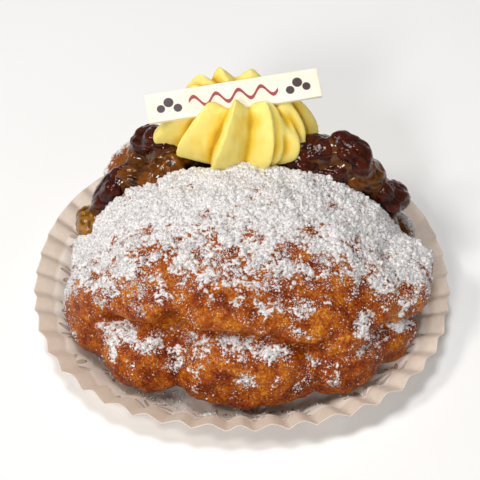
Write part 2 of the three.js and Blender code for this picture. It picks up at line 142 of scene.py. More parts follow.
# Lobes of the bun: azimuth and half width in degrees, reach as a share of the plan, height of the top, how
# much higher the top is at the end of greater azimuth, and the heights of the middle and the foot
Lobe = namedtuple("Lobe", "azimuth half_width reach top lean middle foot", defaults=(0, 11, BUN_BOTTOM))
LOBES = [
    Lobe(203, 19, 1, 29),
    Lobe(229, 16.5, 1, 22.5, lean=3),
    Lobe(271, 25.5, 1, 26.5, lean=-3.5),
    Lobe(306, 14.5, 0.985, 28),
    Lobe(328, 15, 0.97, 18.5),
    Lobe(352, 16, 0.95, 14),
    Lobe(345, 22, 1, 31, middle=17.5, foot=11),
    Lobe(22, 19, 0.97, 21),
    Lobe(61, 24, 1, 22),
    Lobe(102, 23, 1, 25),
    Lobe(141, 22, 1, 22),
    Lobe(174, 17, 0.98, 19),
]

# Slit across the top of the bun, with the distances over which its walls turn into skin
SLIT_FRONT = 8
SLIT_BOTTOM = 12
SLIT_BOTTOM_WIDTH = 5
SLIT_BACK_SLOPE = 0.52
SLIT_TOP = 60
SLIT_LENGTH = 130
SLIT_WALL_EDGE = (-1.2, -0.2)
SLIT_FLOOR_EDGE = (SLIT_BOTTOM - 1.5, SLIT_BOTTOM - 0.5)

# Skin of the bun: rounds of smoothing, how much sharp edges are softened, and blisters, dents and wrinkles
SKIN_EVEN_ROUNDS = 6
SKIN_SOFT_ROUNDS = 40
SKIN_SHARPNESS = (0.25, 1.0)
SKIN_SOFTNESS = 0.5
SKIN_DOME_SOFTNESS = 0.25
SKIN_DOME_HEIGHTS = (24, 32)
SKIN_RELIEF = [Layer(1.1, 13, 11), Layer(0.7, 6.5, 12), Layer(0.4, 3.4, 13), Layer(0.2, 1.8, 14)]
SKIN_RELIEF_HEIGHTS = (0.5, 3.5)
SLIT_RELIEF_LOSS = 0.7

# Browning of the skin: even tone, the foot's extra, and how much paler the ridges are
BROWNING = 0.52
BROWNING_AT_FOOT = 0.1
BROWNING_FOOT_HEIGHTS = (20, 6)
BROWNING_OF_RIDGES = 0.35
BROWNING_RIDGE_LIMIT = 0.8
BUMP_ROUNDS = 30

# Torn crumb in the slit, seen a little above the raisins
CRUMB_ROUNDS = 60
CRUMB_EDGE = (0.55, 0.95)
CRUMB_ABOVE_HEAP = (5, 1)

# Raisins heaped in the slit
HEAP_CENTRE_X = 1.2
HEAP_HALF_WIDTH = 49.5
HEAP_FOOT = 11.5
HEAP_RISE = 31
HEAP_CORE_STEPS = 40
HEAP_CORE_SINK = 1.5
HEAP_CORE_INSET = 0.5
HEAP_CORE_FOOT = HEAP_FOOT + 1
HEAP_CORE_GAP = 0.2
RAISIN_LENGTH = 15
RAISIN_WIDTH = 10.6
RAISIN_FLATNESS = 0.86
RAISIN_SIZE_SPREAD = 0.3
RAISIN_SHIFT = 2.2
RAISIN_TURN = math.radians(65)
RAISIN_TILT = math.radians(30)
RAISIN_SEED = 1907
RAISIN_SUBDIVISIONS = 5
RAISIN_SWELL = 0.35
RAISIN_DENTS = Layer(1.8, 7.5, 100)
RAISIN_HOLLOW_ROUNDS = 8
RAISIN_HOLLOW_LIMIT = 0.3
SYRUP_SWELL = 1.14
SYRUP_SHRINK = 0.95
SYRUP_VOXEL = 0.7
SYRUP_ROUNDS = 20

# Wrinkles of a raisin, which run along it: depth, share of the noise that they take up, size and seed
Wrinkle = namedtuple("Wrinkle", "depth width size seed")
RAISIN_WRINKLES = [Wrinkle(0.32, 0.42, 5.2, 40), Wrinkle(0.26, 0.5, 1.9, 70)]
RAISIN_WRINKLE_STRETCH = (0.5, 1, 1)

# Kinds of raisin: piece, material, colours of the hollows and the bumps, which paint shade into the hollows
# and light glowing through the bumps, and how far light gets through
Kind = namedtuple("Kind", "piece material deep bright glow")
RAISIN_KINDS = {
    "d": Kind("raisins_dark", "soaked dark raisin skin", "#0a0201", "#4c1804", 0.1),
    "r": Kind("raisins_russet", "soaked russet raisin skin", "#150601", "#744008", 0.14),
    "a": Kind("raisins_amber", "soaked golden raisin skin", "#3a2003", "#a06c10", 0.25),
}

# Rows of raisins: places of the first and the last, distance from the front, lift above the arch and kinds
Row = namedtuple("Row", "first last y lift kinds")
RAISIN_ROWS = [
    Row(-47, -47, 9, -2.5, "a"),
    Row(-38.5, 25.5, 11.6, 0.8, "drrrrrdd"),
    Row(36.5, 36.5, 11.5, 3, "r"),
    Row(44.5, 44.5, 11.6, 1, "d"),
    Row(-27, -27, 19, 6, "d"),
    Row(21.5, 21.5, 13.6, 5, "d"),
    Row(31.5, 31.5, 13.6, 8, "d"),
    Row(-28, 34, 20, 1.6, "rdrdrdr"),
]

# Piped custard
SWIRL_CENTRE = (-1, 20)
SWIRL_HALF_WIDTH = 22
SWIRL_HALF_DEPTH = 16.5
SWIRL_FOOT = 41.5
SWIRL_TOP = 58
SWIRL_FLANK_SWELL = -0.1
SWIRL_FIN_SPACING = 22
SWIRL_TIP_FROM = 47.5
SWIRL_TIP_FULL = 62
SWIRL_STEPS_PER_FIN = 30
SWIRL_RINGS = 110
SWIRL_TWIST = math.radians(13)
SWIRL_COVER = 0.8
SWIRL_VOXEL = 0.37
SWIRL_RIDGE = [
    (0, SWIRL_FOOT), (0.5, SWIRL_FOOT), (0.82, SWIRL_FOOT), (1.0, 44.5), (1.04, 48.5), (0.97, 53.2),
    (0.82, 58.4), (0.6, 63), (0.38, 60.6), (0.16, 58.4), (0, SWIRL_TOP),
]
SWIRL_VALLEY = [
    (0, SWIRL_FOOT), (0.4, SWIRL_FOOT), (0.66, SWIRL_FOOT), (0.75, 44.5), (0.76, 48.5), (0.72, 52.6),
    (0.64, 56.6), (0.53, 59.6), (0.36, 59.2), (0.16, 58.2), (0, SWIRL_TOP),
]

# Fins of the custard: azimuth of the groove where each starts, place of its ridge on the way to the next
# groove, its reach, how far its tip and its foot rise, and how much its flanks swell
Fin = namedtuple("Fin", "groove ridge reach tip foot swell", defaults=(SWIRL_FLANK_SWELL,))
SWIRL_FINS = [
    Fin(5, 0.5, 1.0, -1.5, 1),
    Fin(40, 0.45, 1.03, -0.8, 0),
    Fin(80, 0.55, 0.97, 0.8, 0),
    Fin(114, 0.5, 1.03, 0.2, 0),
    Fin(144, 0.5, 0.98, -0.5, 1),
    Fin(170, 0.75, 1.12, -4, 3, swell=1.8),
    Fin(204, 0.3, 1.03, -0.6, 3.5),
    Fin(240, 0.24, 1.04, 2, 0),
    Fin(273, 0.8, 0.98, 0, 1),
    Fin(295, 0.6, 0.93, -2, 1.5),
    Fin(306, 0.5, 1.02, -6.5, 1, swell=1),
    Fin(324, 0.4, 0.95, -1.5, 2),
    Fin(341, 0.45, 1.05, -2.5, 2.5),
]

# Surface of the custard: rounds of smoothing, lumps, upward drag lines, and the painted shade that darkens
# its grooves
CUSTARD_ROUNDS = 9
CUSTARD_LUMPS = Layer(0.3, 7, 61)
CUSTARD_DRAG = Layer(0.1, 1.6, 62)
CUSTARD_DRAG_STRETCH = (1, 1, 0.4)
CUSTARD_HOLLOW_ROUNDS = 120
CUSTARD_FLAT_SHADE = 0.32
CUSTARD_GROOVE_SHADE = 0.9

# White chocolate label, with the bed that it presses into the custard
LABEL_LENGTH = 50
LABEL_WIDTH = 8.8
LABEL_THICKNESS = 1.4
LABEL_CENTRE = (-2.4, 17.5, 60.7)
LABEL_LEAN = math.radians(33)
LABEL_ROLL = math.radians(8.4)
LABEL_YAW = math.radians(2)
LABEL_BEVEL = 0.22
LABEL_BEVEL_STEPS = 3
LABEL_CUTS = 40
LABEL_WAVES = [Layer(0.12, 14, 51), Layer(0.03, 3, 52)]
LABEL_BED_GAP = 0.12

# Print on the label: a wavy line, with the edges of its stroke and of its ends, and spots beyond each end,
# each with its distance from the middle, its rise and its radius
PRINT_WAVE_LENGTH = 6.5
PRINT_WAVE_HEIGHT = 1.5
PRINT_STROKE_EDGE = (0.5, 0.7)
PRINT_LINE_END = (12.7, 13.0)
PRINT_SPOTS = [(16.2, -1.1, 1.25), (18.6, 0.9, 1.45), (21.0, -0.7, 1.2)]
PRINT_SPOT_BLUR = 0.1

# Icing sugar on the dome: most along the slit, less away from it, on steep faces and far to the right
SUGAR_LINE = 4
SUGAR_LINE_COVER = 1.28
SUGAR_FULL_COVER = 1.02
SUGAR_THINNING = 0.0235
SUGAR_STEEP_TILT = 44
SUGAR_STEEP_LOSS = 0.013
SUGAR_RIGHT_LOSS = 0.17
SUGAR_RIGHT_X = (12, 34)
SUGAR_RIGHT_AWAY = (22, 34)
SUGAR_DOME_CATCH = 0.2
SUGAR_PATCHES = [Layer(0.24, 9, 21), Layer(0.32, 4.2, 22)]
TILT_ROUNDS = 10

# Icing sugar on the ledges of the lobes, with ragged edges, and a string of it along the right ledge
LEDGE_COVER = 0.5
LEDGE_LIMIT = 0.62
LEDGE_HEIGHTS = (29, 25)
LEDGE_TILTS = (75, 30)
LEDGE_RAGGEDNESS = Layer(22, 7, 23)
LEDGE_CATCH = 0.3
LEDGE_PATCHINESS = 1.5
STRING_COVER = 1.5

# Where no icing sugar lands: overhangs, the foot and the cut
SHELTER_TILTS = (85, 110)
SHELTER_HEIGHTS = (6, 2)
SHELTER_LOSS = 2

# Caked sugar: how fast it builds up with cover, its uneven height, its clumps, and its thin edge
SUGAR_DEPTH = 0.8
SUGAR_BUILD_UP = 1.6
SUGAR_BARE_COVER = 0.5
SUGAR_CAKE = [Layer(0.6, 4.5, 31), Layer(0.6, 1.6, 32), Layer(0.7, 0.8, 33)]
SUGAR_CLUMP_HEIGHT = 0.65
SUGAR_CLUMP_REACH = 0.55
SUGAR_CLUMP_SPACING = 1.0
SUGAR_CLUMP_SEED = 34
BLANKET_LEAST_COVER = 0.12
BLANKET_EDGE_SINK = 0.12
CRUST_DUST = 0.3

# Loose sugar, whose real grains are too fine to show, so each one here is a small clump: how many, radii,
# how their number grows with the cover, the fewest, and how many fewer there are where the cake hides them
Loose = namedtuple("Loose", "count radii gain start least loss hidden")
SUGAR_GRAINS = Loose(15000, (0.13, 0.36), gain=1.4, start=-0.1, least=0.02, loss=0.2, hidden=(0.6, 0.95))
# Painted highlights: the fewest specks, strewn over bare crust, stand partly for sugar and partly for
# glints of the oil.
SUGAR_SPECKS = Loose(30000, (0.1, 0.27), gain=2.4, start=0, least=0.05, loss=0.75, hidden=(0.55, 0.9))
SUGAR_FLURRIES = [Layer(2.2, 1.6, 35), Layer(1.8, 5, 36)]
SUGAR_SEED = 61
GRAIN_SIZE_SKEW = 1.6
GRAIN_LIFT = 0.35
GRAIN_UNEVENNESS = 0.45

# Sugar that fell past the bun onto the paper
FALLEN_AZIMUTH = 250
FALLEN_SPREAD = 35
FALLEN_FROM = 49
FALLEN_TO = 57
FALLEN_EDGE = 2
FALLEN_GRAINS = 700
FALLEN_FLURRIES = Layer(4.5, 4, 37)
FALLEN_LIFT = 0.15
FALLEN_SEED = 73

# Studio: a floor under the paper, round soft lamps that face the bun, and near-white surroundings
FLOOR_HALF_WIDTH = 1500
FLOOR_LEVEL = -0.3
Lamp = namedtuple("Lamp", "name place size watts colour")
LAMPS = [
    Lamp("key", (-1050, -500, 1300), 340, 9.5, "#fff8f0"),
    Lamp("top", (-200, -150, 2000), 500, 15.5, "#ffffff"),
    Lamp("front", (-500, -1600, 950), 340, 13, "#ffffff"),
]
LAMP_TARGET = (0, 0, 20)
SURROUNDINGS = "#fdfcfb"
SURROUNDINGS_STRENGTH = 0.235

# Camera, fitted to the evenly spaced pleats of the rim
CAMERA_AIM_HEIGHT = 9
CAMERA_ELEVATION = math.radians(42.8)
CAMERA_DISTANCE = 381
CAMERA_FOCAL_PIXELS = 1262
IMAGE_PIXELS = 480
RIM_CENTRE_PIXEL = (242.3, 271)
SENSOR = 36


def fade(low, high, value):
    """Smooth step from 0 at low to 1 at high."""
    share = np.clip((value - low) / (high - low), 0, 1)
    return share * share * (3 - 2 * share)


def smooth_line(points, count):
    """Evenly spread points along a smooth curve through the given points."""
    knots = np.array(points, float)
    place = np.linspace(0, len(knots) - 1, count + 1)
    start = np.minimum(place.astype(int), len(knots) - 2)
    share = (place - start)[:, None]
    before = knots[np.maximum(start - 1, 0)]
    here = knots[start]
    there = knots[start + 1]
    after = knots[np.minimum(start + 2, len(knots) - 1)]
    leave = (there - before) / 2
    arrive = (after - here) / 2
    cubic = 2 * here - 2 * there + leave + arrive
    square = 3 * there - 3 * here - 2 * leave - arrive
    return cubic * share ** 3 + square * share ** 2 + leave * share + here


def scrambled(cell, seed):
    """A repeatable whole number for each cell of a grid, with its digits well mixed."""
    key = cell @ np.array([374761393, 668265263, 1440670441]) + seed * 974711
    key = (key ^ (key >> 13)) * 1274126177
    return key ^ (key >> 16)


def noise(points, size, seed=0):
    """Smooth seeded noise, about -1 to 1, with lumps of the given size."""
    place = points / size + 13.7 * seed
    cell = np.floor(place).astype(np.int64)
    inside = place - cell
    eased = inside ** 3 * (inside * (inside * 6 - 15) + 10)
    total = np.zeros(len(points))
    for corner in np.ndindex(2, 2, 2):
        key = scrambled(cell + corner, seed) & 0xFFFFFF
        height = (key % 2039) / 1019.0 - 1
        heading = (key // 2039) * 2.399963
        level = np.sqrt(np.maximum(0, 1 - height ** 2))
        pull = np.stack([level * np.cos(heading), level * np.sin(heading), height], 1)
        weight = np.prod(np.where(corner, eased, 1 - eased), axis=1)
        total += weight * np.sum(pull * (inside - corner), axis=1)
    return total * 1.7


def layered_noise(points, *layers):
    """Layers of noise on top of each other."""
    return sum(layer.height * noise(points, layer.size, layer.seed) for layer in layers)


def cells(points, size, seed=0):
    """Distance to the nearest of many seeded spots, in shares of their spacing."""
    place = points / size + 7.3 * seed
    cell = np.floor(place).astype(np.int64)
    nearest = np.full(len(points), 9.0)
    for shift in np.ndindex(3, 3, 3):
        corner = cell + np.array(shift) - 1
        key = scrambled(corner, seed) & 0x3FFFFFFF
        spot = np.stack([key & 1023, (key >> 10) & 1023, (key >> 20) & 1023], 1) / 1023
        nearest = np.minimum(nearest, np.sum((corner + spot - place) ** 2, axis=1))
    return np.sqrt(nearest)


def normals_of(points, triangles):
    """Unit normals at the points of a triangle mesh."""
    first, second, third = (points[triangles[:, side]] for side in range(3))
    across = np.repeat(np.cross(second - first, third - first), 3, axis=0)
    owner = triangles.ravel()
    total = np.stack([np.bincount(owner, across[:, axis], len(points)) for axis in range(3)], 1)
    return total / np.maximum(np.linalg.norm(total, axis=1, keepdims=True), 1e-9)


def relaxed(values, triangles, rounds, strength=0.5):
    """Evens out points or numbers over the neighbours of each point of a closed mesh."""
    start = triangles.ravel()
    end = np.roll(triangles, -1, axis=1).ravel()
    columns = values.reshape(len(values), -1).copy()
    links = np.bincount(start, minlength=len(columns))
    for _ in range(rounds):
        sums = [np.bincount(start, columns[end, axis], len(columns)) for axis in range(columns.shape[1])]
        columns += strength * (np.stack(sums, 1) / links[:, None] - columns)
    return columns.reshape(values.shape)


def hollowness(points, triangles, rounds):
    """How far each point lies in a hollow, in millimetres: above 0 in creases and below 0 on ridges."""
    shift = relaxed(points, triangles, rounds) - points
    return np.sum(shift * normals_of(points, triangles), axis=1)


def closed_form(low_pole, rings, high_pole):
    """Points and triangles of a closed form: a pole, rings of points and another pole."""
    count, segments = rings.shape[:2]
    points = np.concatenate([[low_pole], rings.reshape(-1, 3), [high_pole]])
    spot = np.arange(segments)
    beside = (spot + 1) % segments
    last = 1 + count * segments
    lower = 1 + np.arange(count - 1)[:, None] * segments
    faces = [
        np.stack([np.zeros(segments, int), 1 + beside, 1 + spot], 1),
        np.stack([lower + spot, lower + beside, lower + segments + beside], 2).reshape(-1, 3),
        np.stack([lower + spot, lower + segments + beside, lower + segments + spot], 2).reshape(-1, 3),
        np.stack([np.full(segments, last), last - segments + spot, last - segments + beside], 1),
    ]
    return points, np.concatenate(faces)


def joined(bodies):
    """Joins bodies, each given as points and triangles, into one mesh."""
    starts = np.cumsum([0] + [len(points) for points, _ in bodies[:-1]])
    points = np.concatenate([points for points, _ in bodies])
    return points, np.concatenate([triangles + start for (_, triangles), start in zip(bodies, starts)])


def split_finer(points, triangles):
    """Cuts each triangle into four at the middles of its sides."""
    sides = np.concatenate([triangles[:, [0, 1]], triangles[:, [1, 2]], triangles[:, [2, 0]]])
    pairs, which = np.unique(np.sort(sides, axis=1), axis=0, return_inverse=True)
    middles = which.ravel().reshape(3, -1).T + len(points)
    corner = np.stack([triangles, middles, np.roll(middles, 1, axis=1)], 2).reshape(-1, 3)
    finer = np.concatenate([points, points[pairs].mean(axis=1)])
    return finer, np.concatenate([corner, middles])


def only_used(points, triangles, *values):
    """Drops the points that no triangle uses."""
    used, renumbered = np.unique(triangles, return_inverse=True)
    return (points[used], renumbered.reshape(-1, 3), *(value[used] for value in values))


def make_piece(name, points, triangles, material, **attributes):
    """Makes a smooth-shaded object from millimetre points and triangles, with named point values."""
    mesh = bpy.data.meshes.new(name)
    mesh.vertices.add(len(points))
    mesh.vertices.foreach_set("co", (points * MM).astype(np.float32).ravel())
    mesh.loops.add(triangles.size)
    mesh.loops.foreach_set("vertex_index", triangles.astype(np.int32).ravel())
    mesh.polygons.add(len(triangles))
    mesh.polygons.foreach_set("loop_start", np.arange(0, triangles.size, 3, dtype=np.int32))
    mesh.update(calc_edges=True)
    for label, values in attributes.items():
        layer = mesh.attributes.new(label, "FLOAT", "POINT")
        layer.data.foreach_set("value", np.asarray(values, np.float32))
    mesh.shade_smooth()
    mesh.materials.append(material)
    piece = bpy.data.objects.new(name, mesh)
    bpy.context.collection.objects.link(piece)
    return piece


def modified(points, triangles, *steps):
    """Runs Blender modifiers over a scratch mesh and gives back its points and triangles."""
    scratch = make_piece("scratch", points, triangles, None)
    for kind, settings in steps:
        modifier = scratch.modifiers.new(kind, kind)
        for setting, value in settings.items():
            setattr(modifier, setting, value)
    shaped = scratch.evaluated_get(bpy.context.evaluated_depsgraph_get())
    mesh = bpy.data.meshes.new_from_object(shaped)
    mesh.calc_loop_triangles()
    spots = np.empty(len(mesh.vertices) * 3, np.float32)
    mesh.vertices.foreach_get("co", spots)
    corners = np.empty(len(mesh.loop_triangles) * 3, np.int32)
    mesh.loop_triangles.foreach_get("vertices", corners)
    bpy.data.objects.remove(scratch)
    return spots.reshape(-1, 3).astype(float) / MM, corners.reshape(-1, 3).astype(int)


def even_mesh(voxel):
    """The modifier step that rebuilds a mesh as one skin of even faces."""
    return "REMESH", {"mode": "VOXEL", "voxel_size": voxel * MM}


def carved(form, cutter, voxel):
    """Cuts a hidden object out of a form, rebuilds what is left as even faces and drops the cutter."""
    cut = ("BOOLEAN", {"object": cutter, "operation": "DIFFERENCE", "solver": "MANIFOLD"})
    points, triangles = modified(*form, cut, even_mesh(voxel))
    bpy.data.objects.remove(cutter)
    return points, triangles


def largest_body(points, triangles):
    """Keeps the connected body with the most points."""
    label = np.arange(len(points))
    while True:
        lowest = label.copy()
        for side in range(3):
            np.minimum.at(lowest, triangles[:, side], label[triangles].min(axis=1))
        lowest = lowest[lowest]
        if np.array_equal(lowest, label):
            break
        label = lowest
    keep = np.bincount(label).argmax()
    return only_used(points, triangles[label[triangles[:, 0]] == keep])


def emptied(mould):
    """Takes the points and triangles out of a mould and frees it."""
    mould.verts.index_update()
    points = np.array([vert.co[:] for vert in mould.verts])
    triangles = np.array([[vert.index for vert in face.verts] for face in mould.faces])
    mould.free()
    return points, triangles


def linear_colour(hex_text):
    """Turns an sRGB hex colour into linear RGBA."""
    parts = [int(hex_text[spot:spot + 2], 16) / 255 for spot in (1, 3, 5)]
    return [part / 12.92 if part <= 0.04045 else ((part + 0.055) / 1.055) ** 2.4 for part in parts] + [1]


def per_size(size):
    """Texture scale, per metre, that gives features of a size in millimetres."""
    return 1 / (size * MM)


def add_node(tree, kind, inputs, output=0, stops=(), **settings):
    """Adds a node, or takes one that is there, sets and links its inputs by name or in their order, and
    gives one of its outputs."""
    node = kind if isinstance(kind, bpy.types.Node) else tree.nodes.new("ShaderNode" + kind)
    for setting, value in settings.items():
        setattr(node, setting, value)
    for _ in stops[2:]:
        node.color_ramp.elements.new(1)
    for spot, (place, colour) in enumerate(stops):
        node.color_ramp.elements[spot].position = place
        node.color_ramp.elements[spot].color = linear_colour(colour)
    for socket, value in inputs.items() if isinstance(inputs, dict) else enumerate(inputs):
        if isinstance(value, bpy.types.NodeSocket):
            tree.links.new(value, node.inputs[socket])
        else:
            node.inputs[socket].default_value = value
    return node.outputs[output]


def new_material(name):
    """Starts a node material and gives it, what adds nodes to it, its shader, and the place on the object
    from which its patterns are read."""
    material = bpy.data.materials.new(name)
    material.use_nodes = True
    add = partial(add_node, material.node_tree)
    return material, add, material.node_tree.nodes["Principled BSDF"], add("TexCoord", {}, "Object")


# Sockets and settings of a Mix node that mixes colours. A Map Range node's inputs, in their order, are the
# value, the two ends of the range that it comes in, and the two ends of the range that it goes out in.
MIX_SHARE, MIX_FIRST, MIX_SECOND = 0, 6, 7
COLOURS = {"output": 2, "data_type": "RGBA"}


def fried_crust():
    """Yeast dough fried in deep fat: a mottled orange-brown skin with paler blisters, a thin film of oil
    and a breath of icing sugar, whose fine spots turn golden where it is thin as painted glints of the oil.
    Inside the slit the pale torn crumb shows."""
    material, add, shader, place = new_material("deep-fried dough crust")
    browning = add("Attribute", {}, "Fac", attribute_name="browning")
    dust = add("Attribute", {}, "Fac", attribute_name="dust")
    crumb = add("Attribute", {}, "Fac", attribute_name="crumb")
    blotches = add("TexNoise", {"Vector": place, "Scale": per_size(5), "Detail": 5, "Roughness": 0.62})
    speckle = add("TexNoise", {"Vector": place, "Scale": per_size(0.7), "Detail": 3, "Roughness": 0.65})
    shift = add("MapRange", (blotches, 0.25, 0.75, -0.42, 0.42))
    fleck = add("MapRange", (speckle, 0.3, 0.7, -0.3, 0.3))
    tone = add("Math", (browning, shift), operation="ADD")
    tone = add("Math", (tone, fleck), operation="ADD")
    skin = add("ValToRGB", {"Fac": tone}, stops=[
        (0.0, "#d09026"), (0.25, "#b4620c"), (0.5, "#954004"), (0.75, "#702702"), (1.0, "#461601")])
    skin = add("Mix", {MIX_SHARE: crumb, MIX_FIRST: skin, MIX_SECOND: linear_colour("#93561c")}, **COLOURS)
    powder = add("TexNoise", {"Vector": place, "Scale": per_size(0.55), "Detail": 2, "Roughness": 0.7})
    powder = add("Math", (powder, dust), operation="ADD")
    powder = add("MapRange", (powder, 0.85, 1.25, 0.0, 0.85))
    off_grain = add("TexVoronoi", {"Vector": place, "Scale": per_size(0.9)}, "Distance")
    chance = off_grain.node.outputs["Color"]
    reach = add("Math", (chance, 0.6, -0.2), operation="MULTIPLY_ADD")
    reach = add("Math", (dust, 0.6, reach), operation="MULTIPLY_ADD")
    grains = add("Math", (reach, off_grain), operation="SUBTRACT")
    grains = add("MapRange", (grains, 0.0, 0.05, 0.0, 0.7))
    powder = add("Math", (powder, grains), operation="MAXIMUM")
    # Painted highlights: where little dust lies these spots are golden and stand for glints of the oil;
    # where it lies thick they are white sugar.
    sugar_or_glint_colour = add("ValToRGB", {"Fac": dust}, stops=[(0.02, "#dca458"), (0.16, "#f1ece6")])
    colour = add("Mix", {MIX_SHARE: powder, MIX_FIRST: skin, MIX_SECOND: sugar_or_glint_colour}, **COLOURS)
    gloss = add("MapRange", (powder, 0.0, 0.6, 0.22, 0.9))
    grain = add("TexNoise", {"Vector": place, "Scale": per_size(0.7), "Detail": 4, "Roughness": 0.65})
    relief = add("Bump", {"Height": grain, "Strength": 0.9, "Distance": 0.45 * MM})
    add(shader, {
        "Base Color": colour, "Roughness": gloss, "IOR": 1.47, "Specular IOR Level": 0.18,
        "Normal": relief})
    return material


def icing_sugar():
    """Icing sugar shaken from a sieve: fine matt white powder that cakes into soft clumps, with painted
    grey shade in the pits between them. Where it lies thin, the crust shows through. Its grain is drawn
    coarser than the real one, so that it shows."""
    material, add, shader, place = new_material("sifted icing sugar")
    depth = add("Attribute", {}, "Fac", attribute_name="depth")
    cake = add("TexNoise", {"Vector": place, "Scale": per_size(0.6), "Detail": 4, "Roughness": 0.7})
    # Painted shade: the grey end of this ramp stands for the shadow in the pits between clumps.
    powder = add("ValToRGB", {"Fac": cake}, stops=[(0.36, "#b9b2af"), (0.57, "#f7f6f6")])
    thick = add("MapRange", (depth, 0.0, 0.2, 0.2, 1.0))
    gaps = add("TexNoise", {"Vector": place, "Scale": per_size(0.6), "Detail": 2, "Roughness": 0.6})
    gaps = add("MapRange", (gaps, 0.35, 0.43, 0.4, 1.0))
    deep = add("MapRange", (depth, 0.2, 0.5, 0.0, 1.0))
    gaps = add("Math", (gaps, deep), operation="MAXIMUM")
    thick = add("Math", (thick, gaps), operation="MULTIPLY")
    crust_below = linear_colour("#a2622c")
    colour = add("Mix", {MIX_SHARE: thick, MIX_FIRST: crust_below, MIX_SECOND: powder}, **COLOURS)
    grain = add("TexNoise", {"Vector": place, "Scale": per_size(0.35), "Detail": 3, "Roughness": 0.7})
    relief = add("Bump", {"Height": grain, "Strength": 0.9, "Distance": 0.25 * MM})
    add(shader, {"Base Color": colour, "Roughness": 0.95, "IOR": 1.4, "Normal": relief})
    return material


def soaked_raisin(kind):
    """Raisin skin swollen in syrup: dark translucent wrinkles under a wet, mirror-like film, with painted
    shade in the hollows and painted light glowing through the bumps.
    """
    material, add, shader, place = new_material(kind.material)
    hollow = add("Attribute", {}, "Fac", attribute_name="hollow")
    blotch = add("TexNoise", {"Vector": place, "Scale": per_size(4), "Detail": 4, "Roughness": 0.6})
    # Painted shade and light: hollows go towards the deep colour as shade, bumps towards the bright one as
    # light shining through.
    tone = add("Math", (blotch, hollow), operation="SUBTRACT")
    colour = add("ValToRGB", {"Fac": tone}, stops=[(0.34, kind.deep), (0.7, kind.bright)])
    creases = add("TexNoise", {"Vector": place, "Scale": per_size(1.1), "Detail": 2, "Roughness": 0.5})
    relief = add("Bump", {"Height": creases, "Strength": 0.5, "Distance": 0.4 * MM})
    add(shader, {
        "Base Color": colour, "Roughness": 0.04, "IOR": 1.45, "Specular IOR Level": 0.36, "Normal": relief,
        "Subsurface Weight": kind.glow, "Subsurface Radius": (2.2, 0.9, 0.35), "Subsurface Scale": MM})
    return material


def raisin_syrup():
    """Boiled sugar syrup between the raisins: a thick brown glaze with a wet shine."""
    material, add, shader, place = new_material("boiled sugar syrup")
    depth = add("TexNoise", {"Vector": place, "Scale": per_size(3), "Detail": 2, "Roughness": 0.5})
    colour = add("ValToRGB", {"Fac": depth}, stops=[(0.3, "#2c1203"), (0.7, "#6a3c0c")])
    relief = add("Bump", {"Height": depth, "Strength": 0.6, "Distance": 0.8 * MM})
    add(shader, {
        "Base Color": colour, "Roughness": 0.07, "IOR": 1.46, "Normal": relief, "Subsurface Weight": 0.2,
        "Subsurface Radius": (2.4, 1.1, 0.35), "Subsurface Scale": MM})
    return material


def piped_custard():
    """Thick pastry custard pressed through a star nozzle: pale creamy ridges and the faint drag lines of
    the nozzle, with painted shade that turns the grooves deep yellow."""
    material, add, shader, place = new_material("piped pastry custard")
    hollow = add("Attribute", {}, "Fac", attribute_name="hollow")
    swirl = add("TexNoise", {"Vector": place, "Scale": per_size(6), "Detail": 3, "Roughness": 0.5})
    shift = add("MapRange", (swirl, 0.3, 0.7, -0.12, 0.12))
    tone = add("Math", (hollow, shift), operation="ADD")
    # Painted shade: the hollow value, highest deep in a groove, darkens the colour from pale cream to deep
    # yellow.
    colour = add("ValToRGB", {"Fac": tone}, stops=[(0.1, "#fae57e"), (0.5, "#f0c62c"), (0.95, "#c29206")])
    drag = add("TexNoise", {"Vector": place, "Scale": per_size(0.9), "Detail": 3, "Roughness": 0.6})
    relief = add("Bump", {"Height": drag, "Strength": 0.18, "Distance": 0.25 * MM})
    add(shader, {
        "Base Color": colour, "Roughness": 0.46, "IOR": 1.45, "Normal": relief, "Subsurface Weight": 0.2,
        "Subsurface Radius": (1.2, 0.9, 0.35), "Subsurface Scale": MM})
    return material


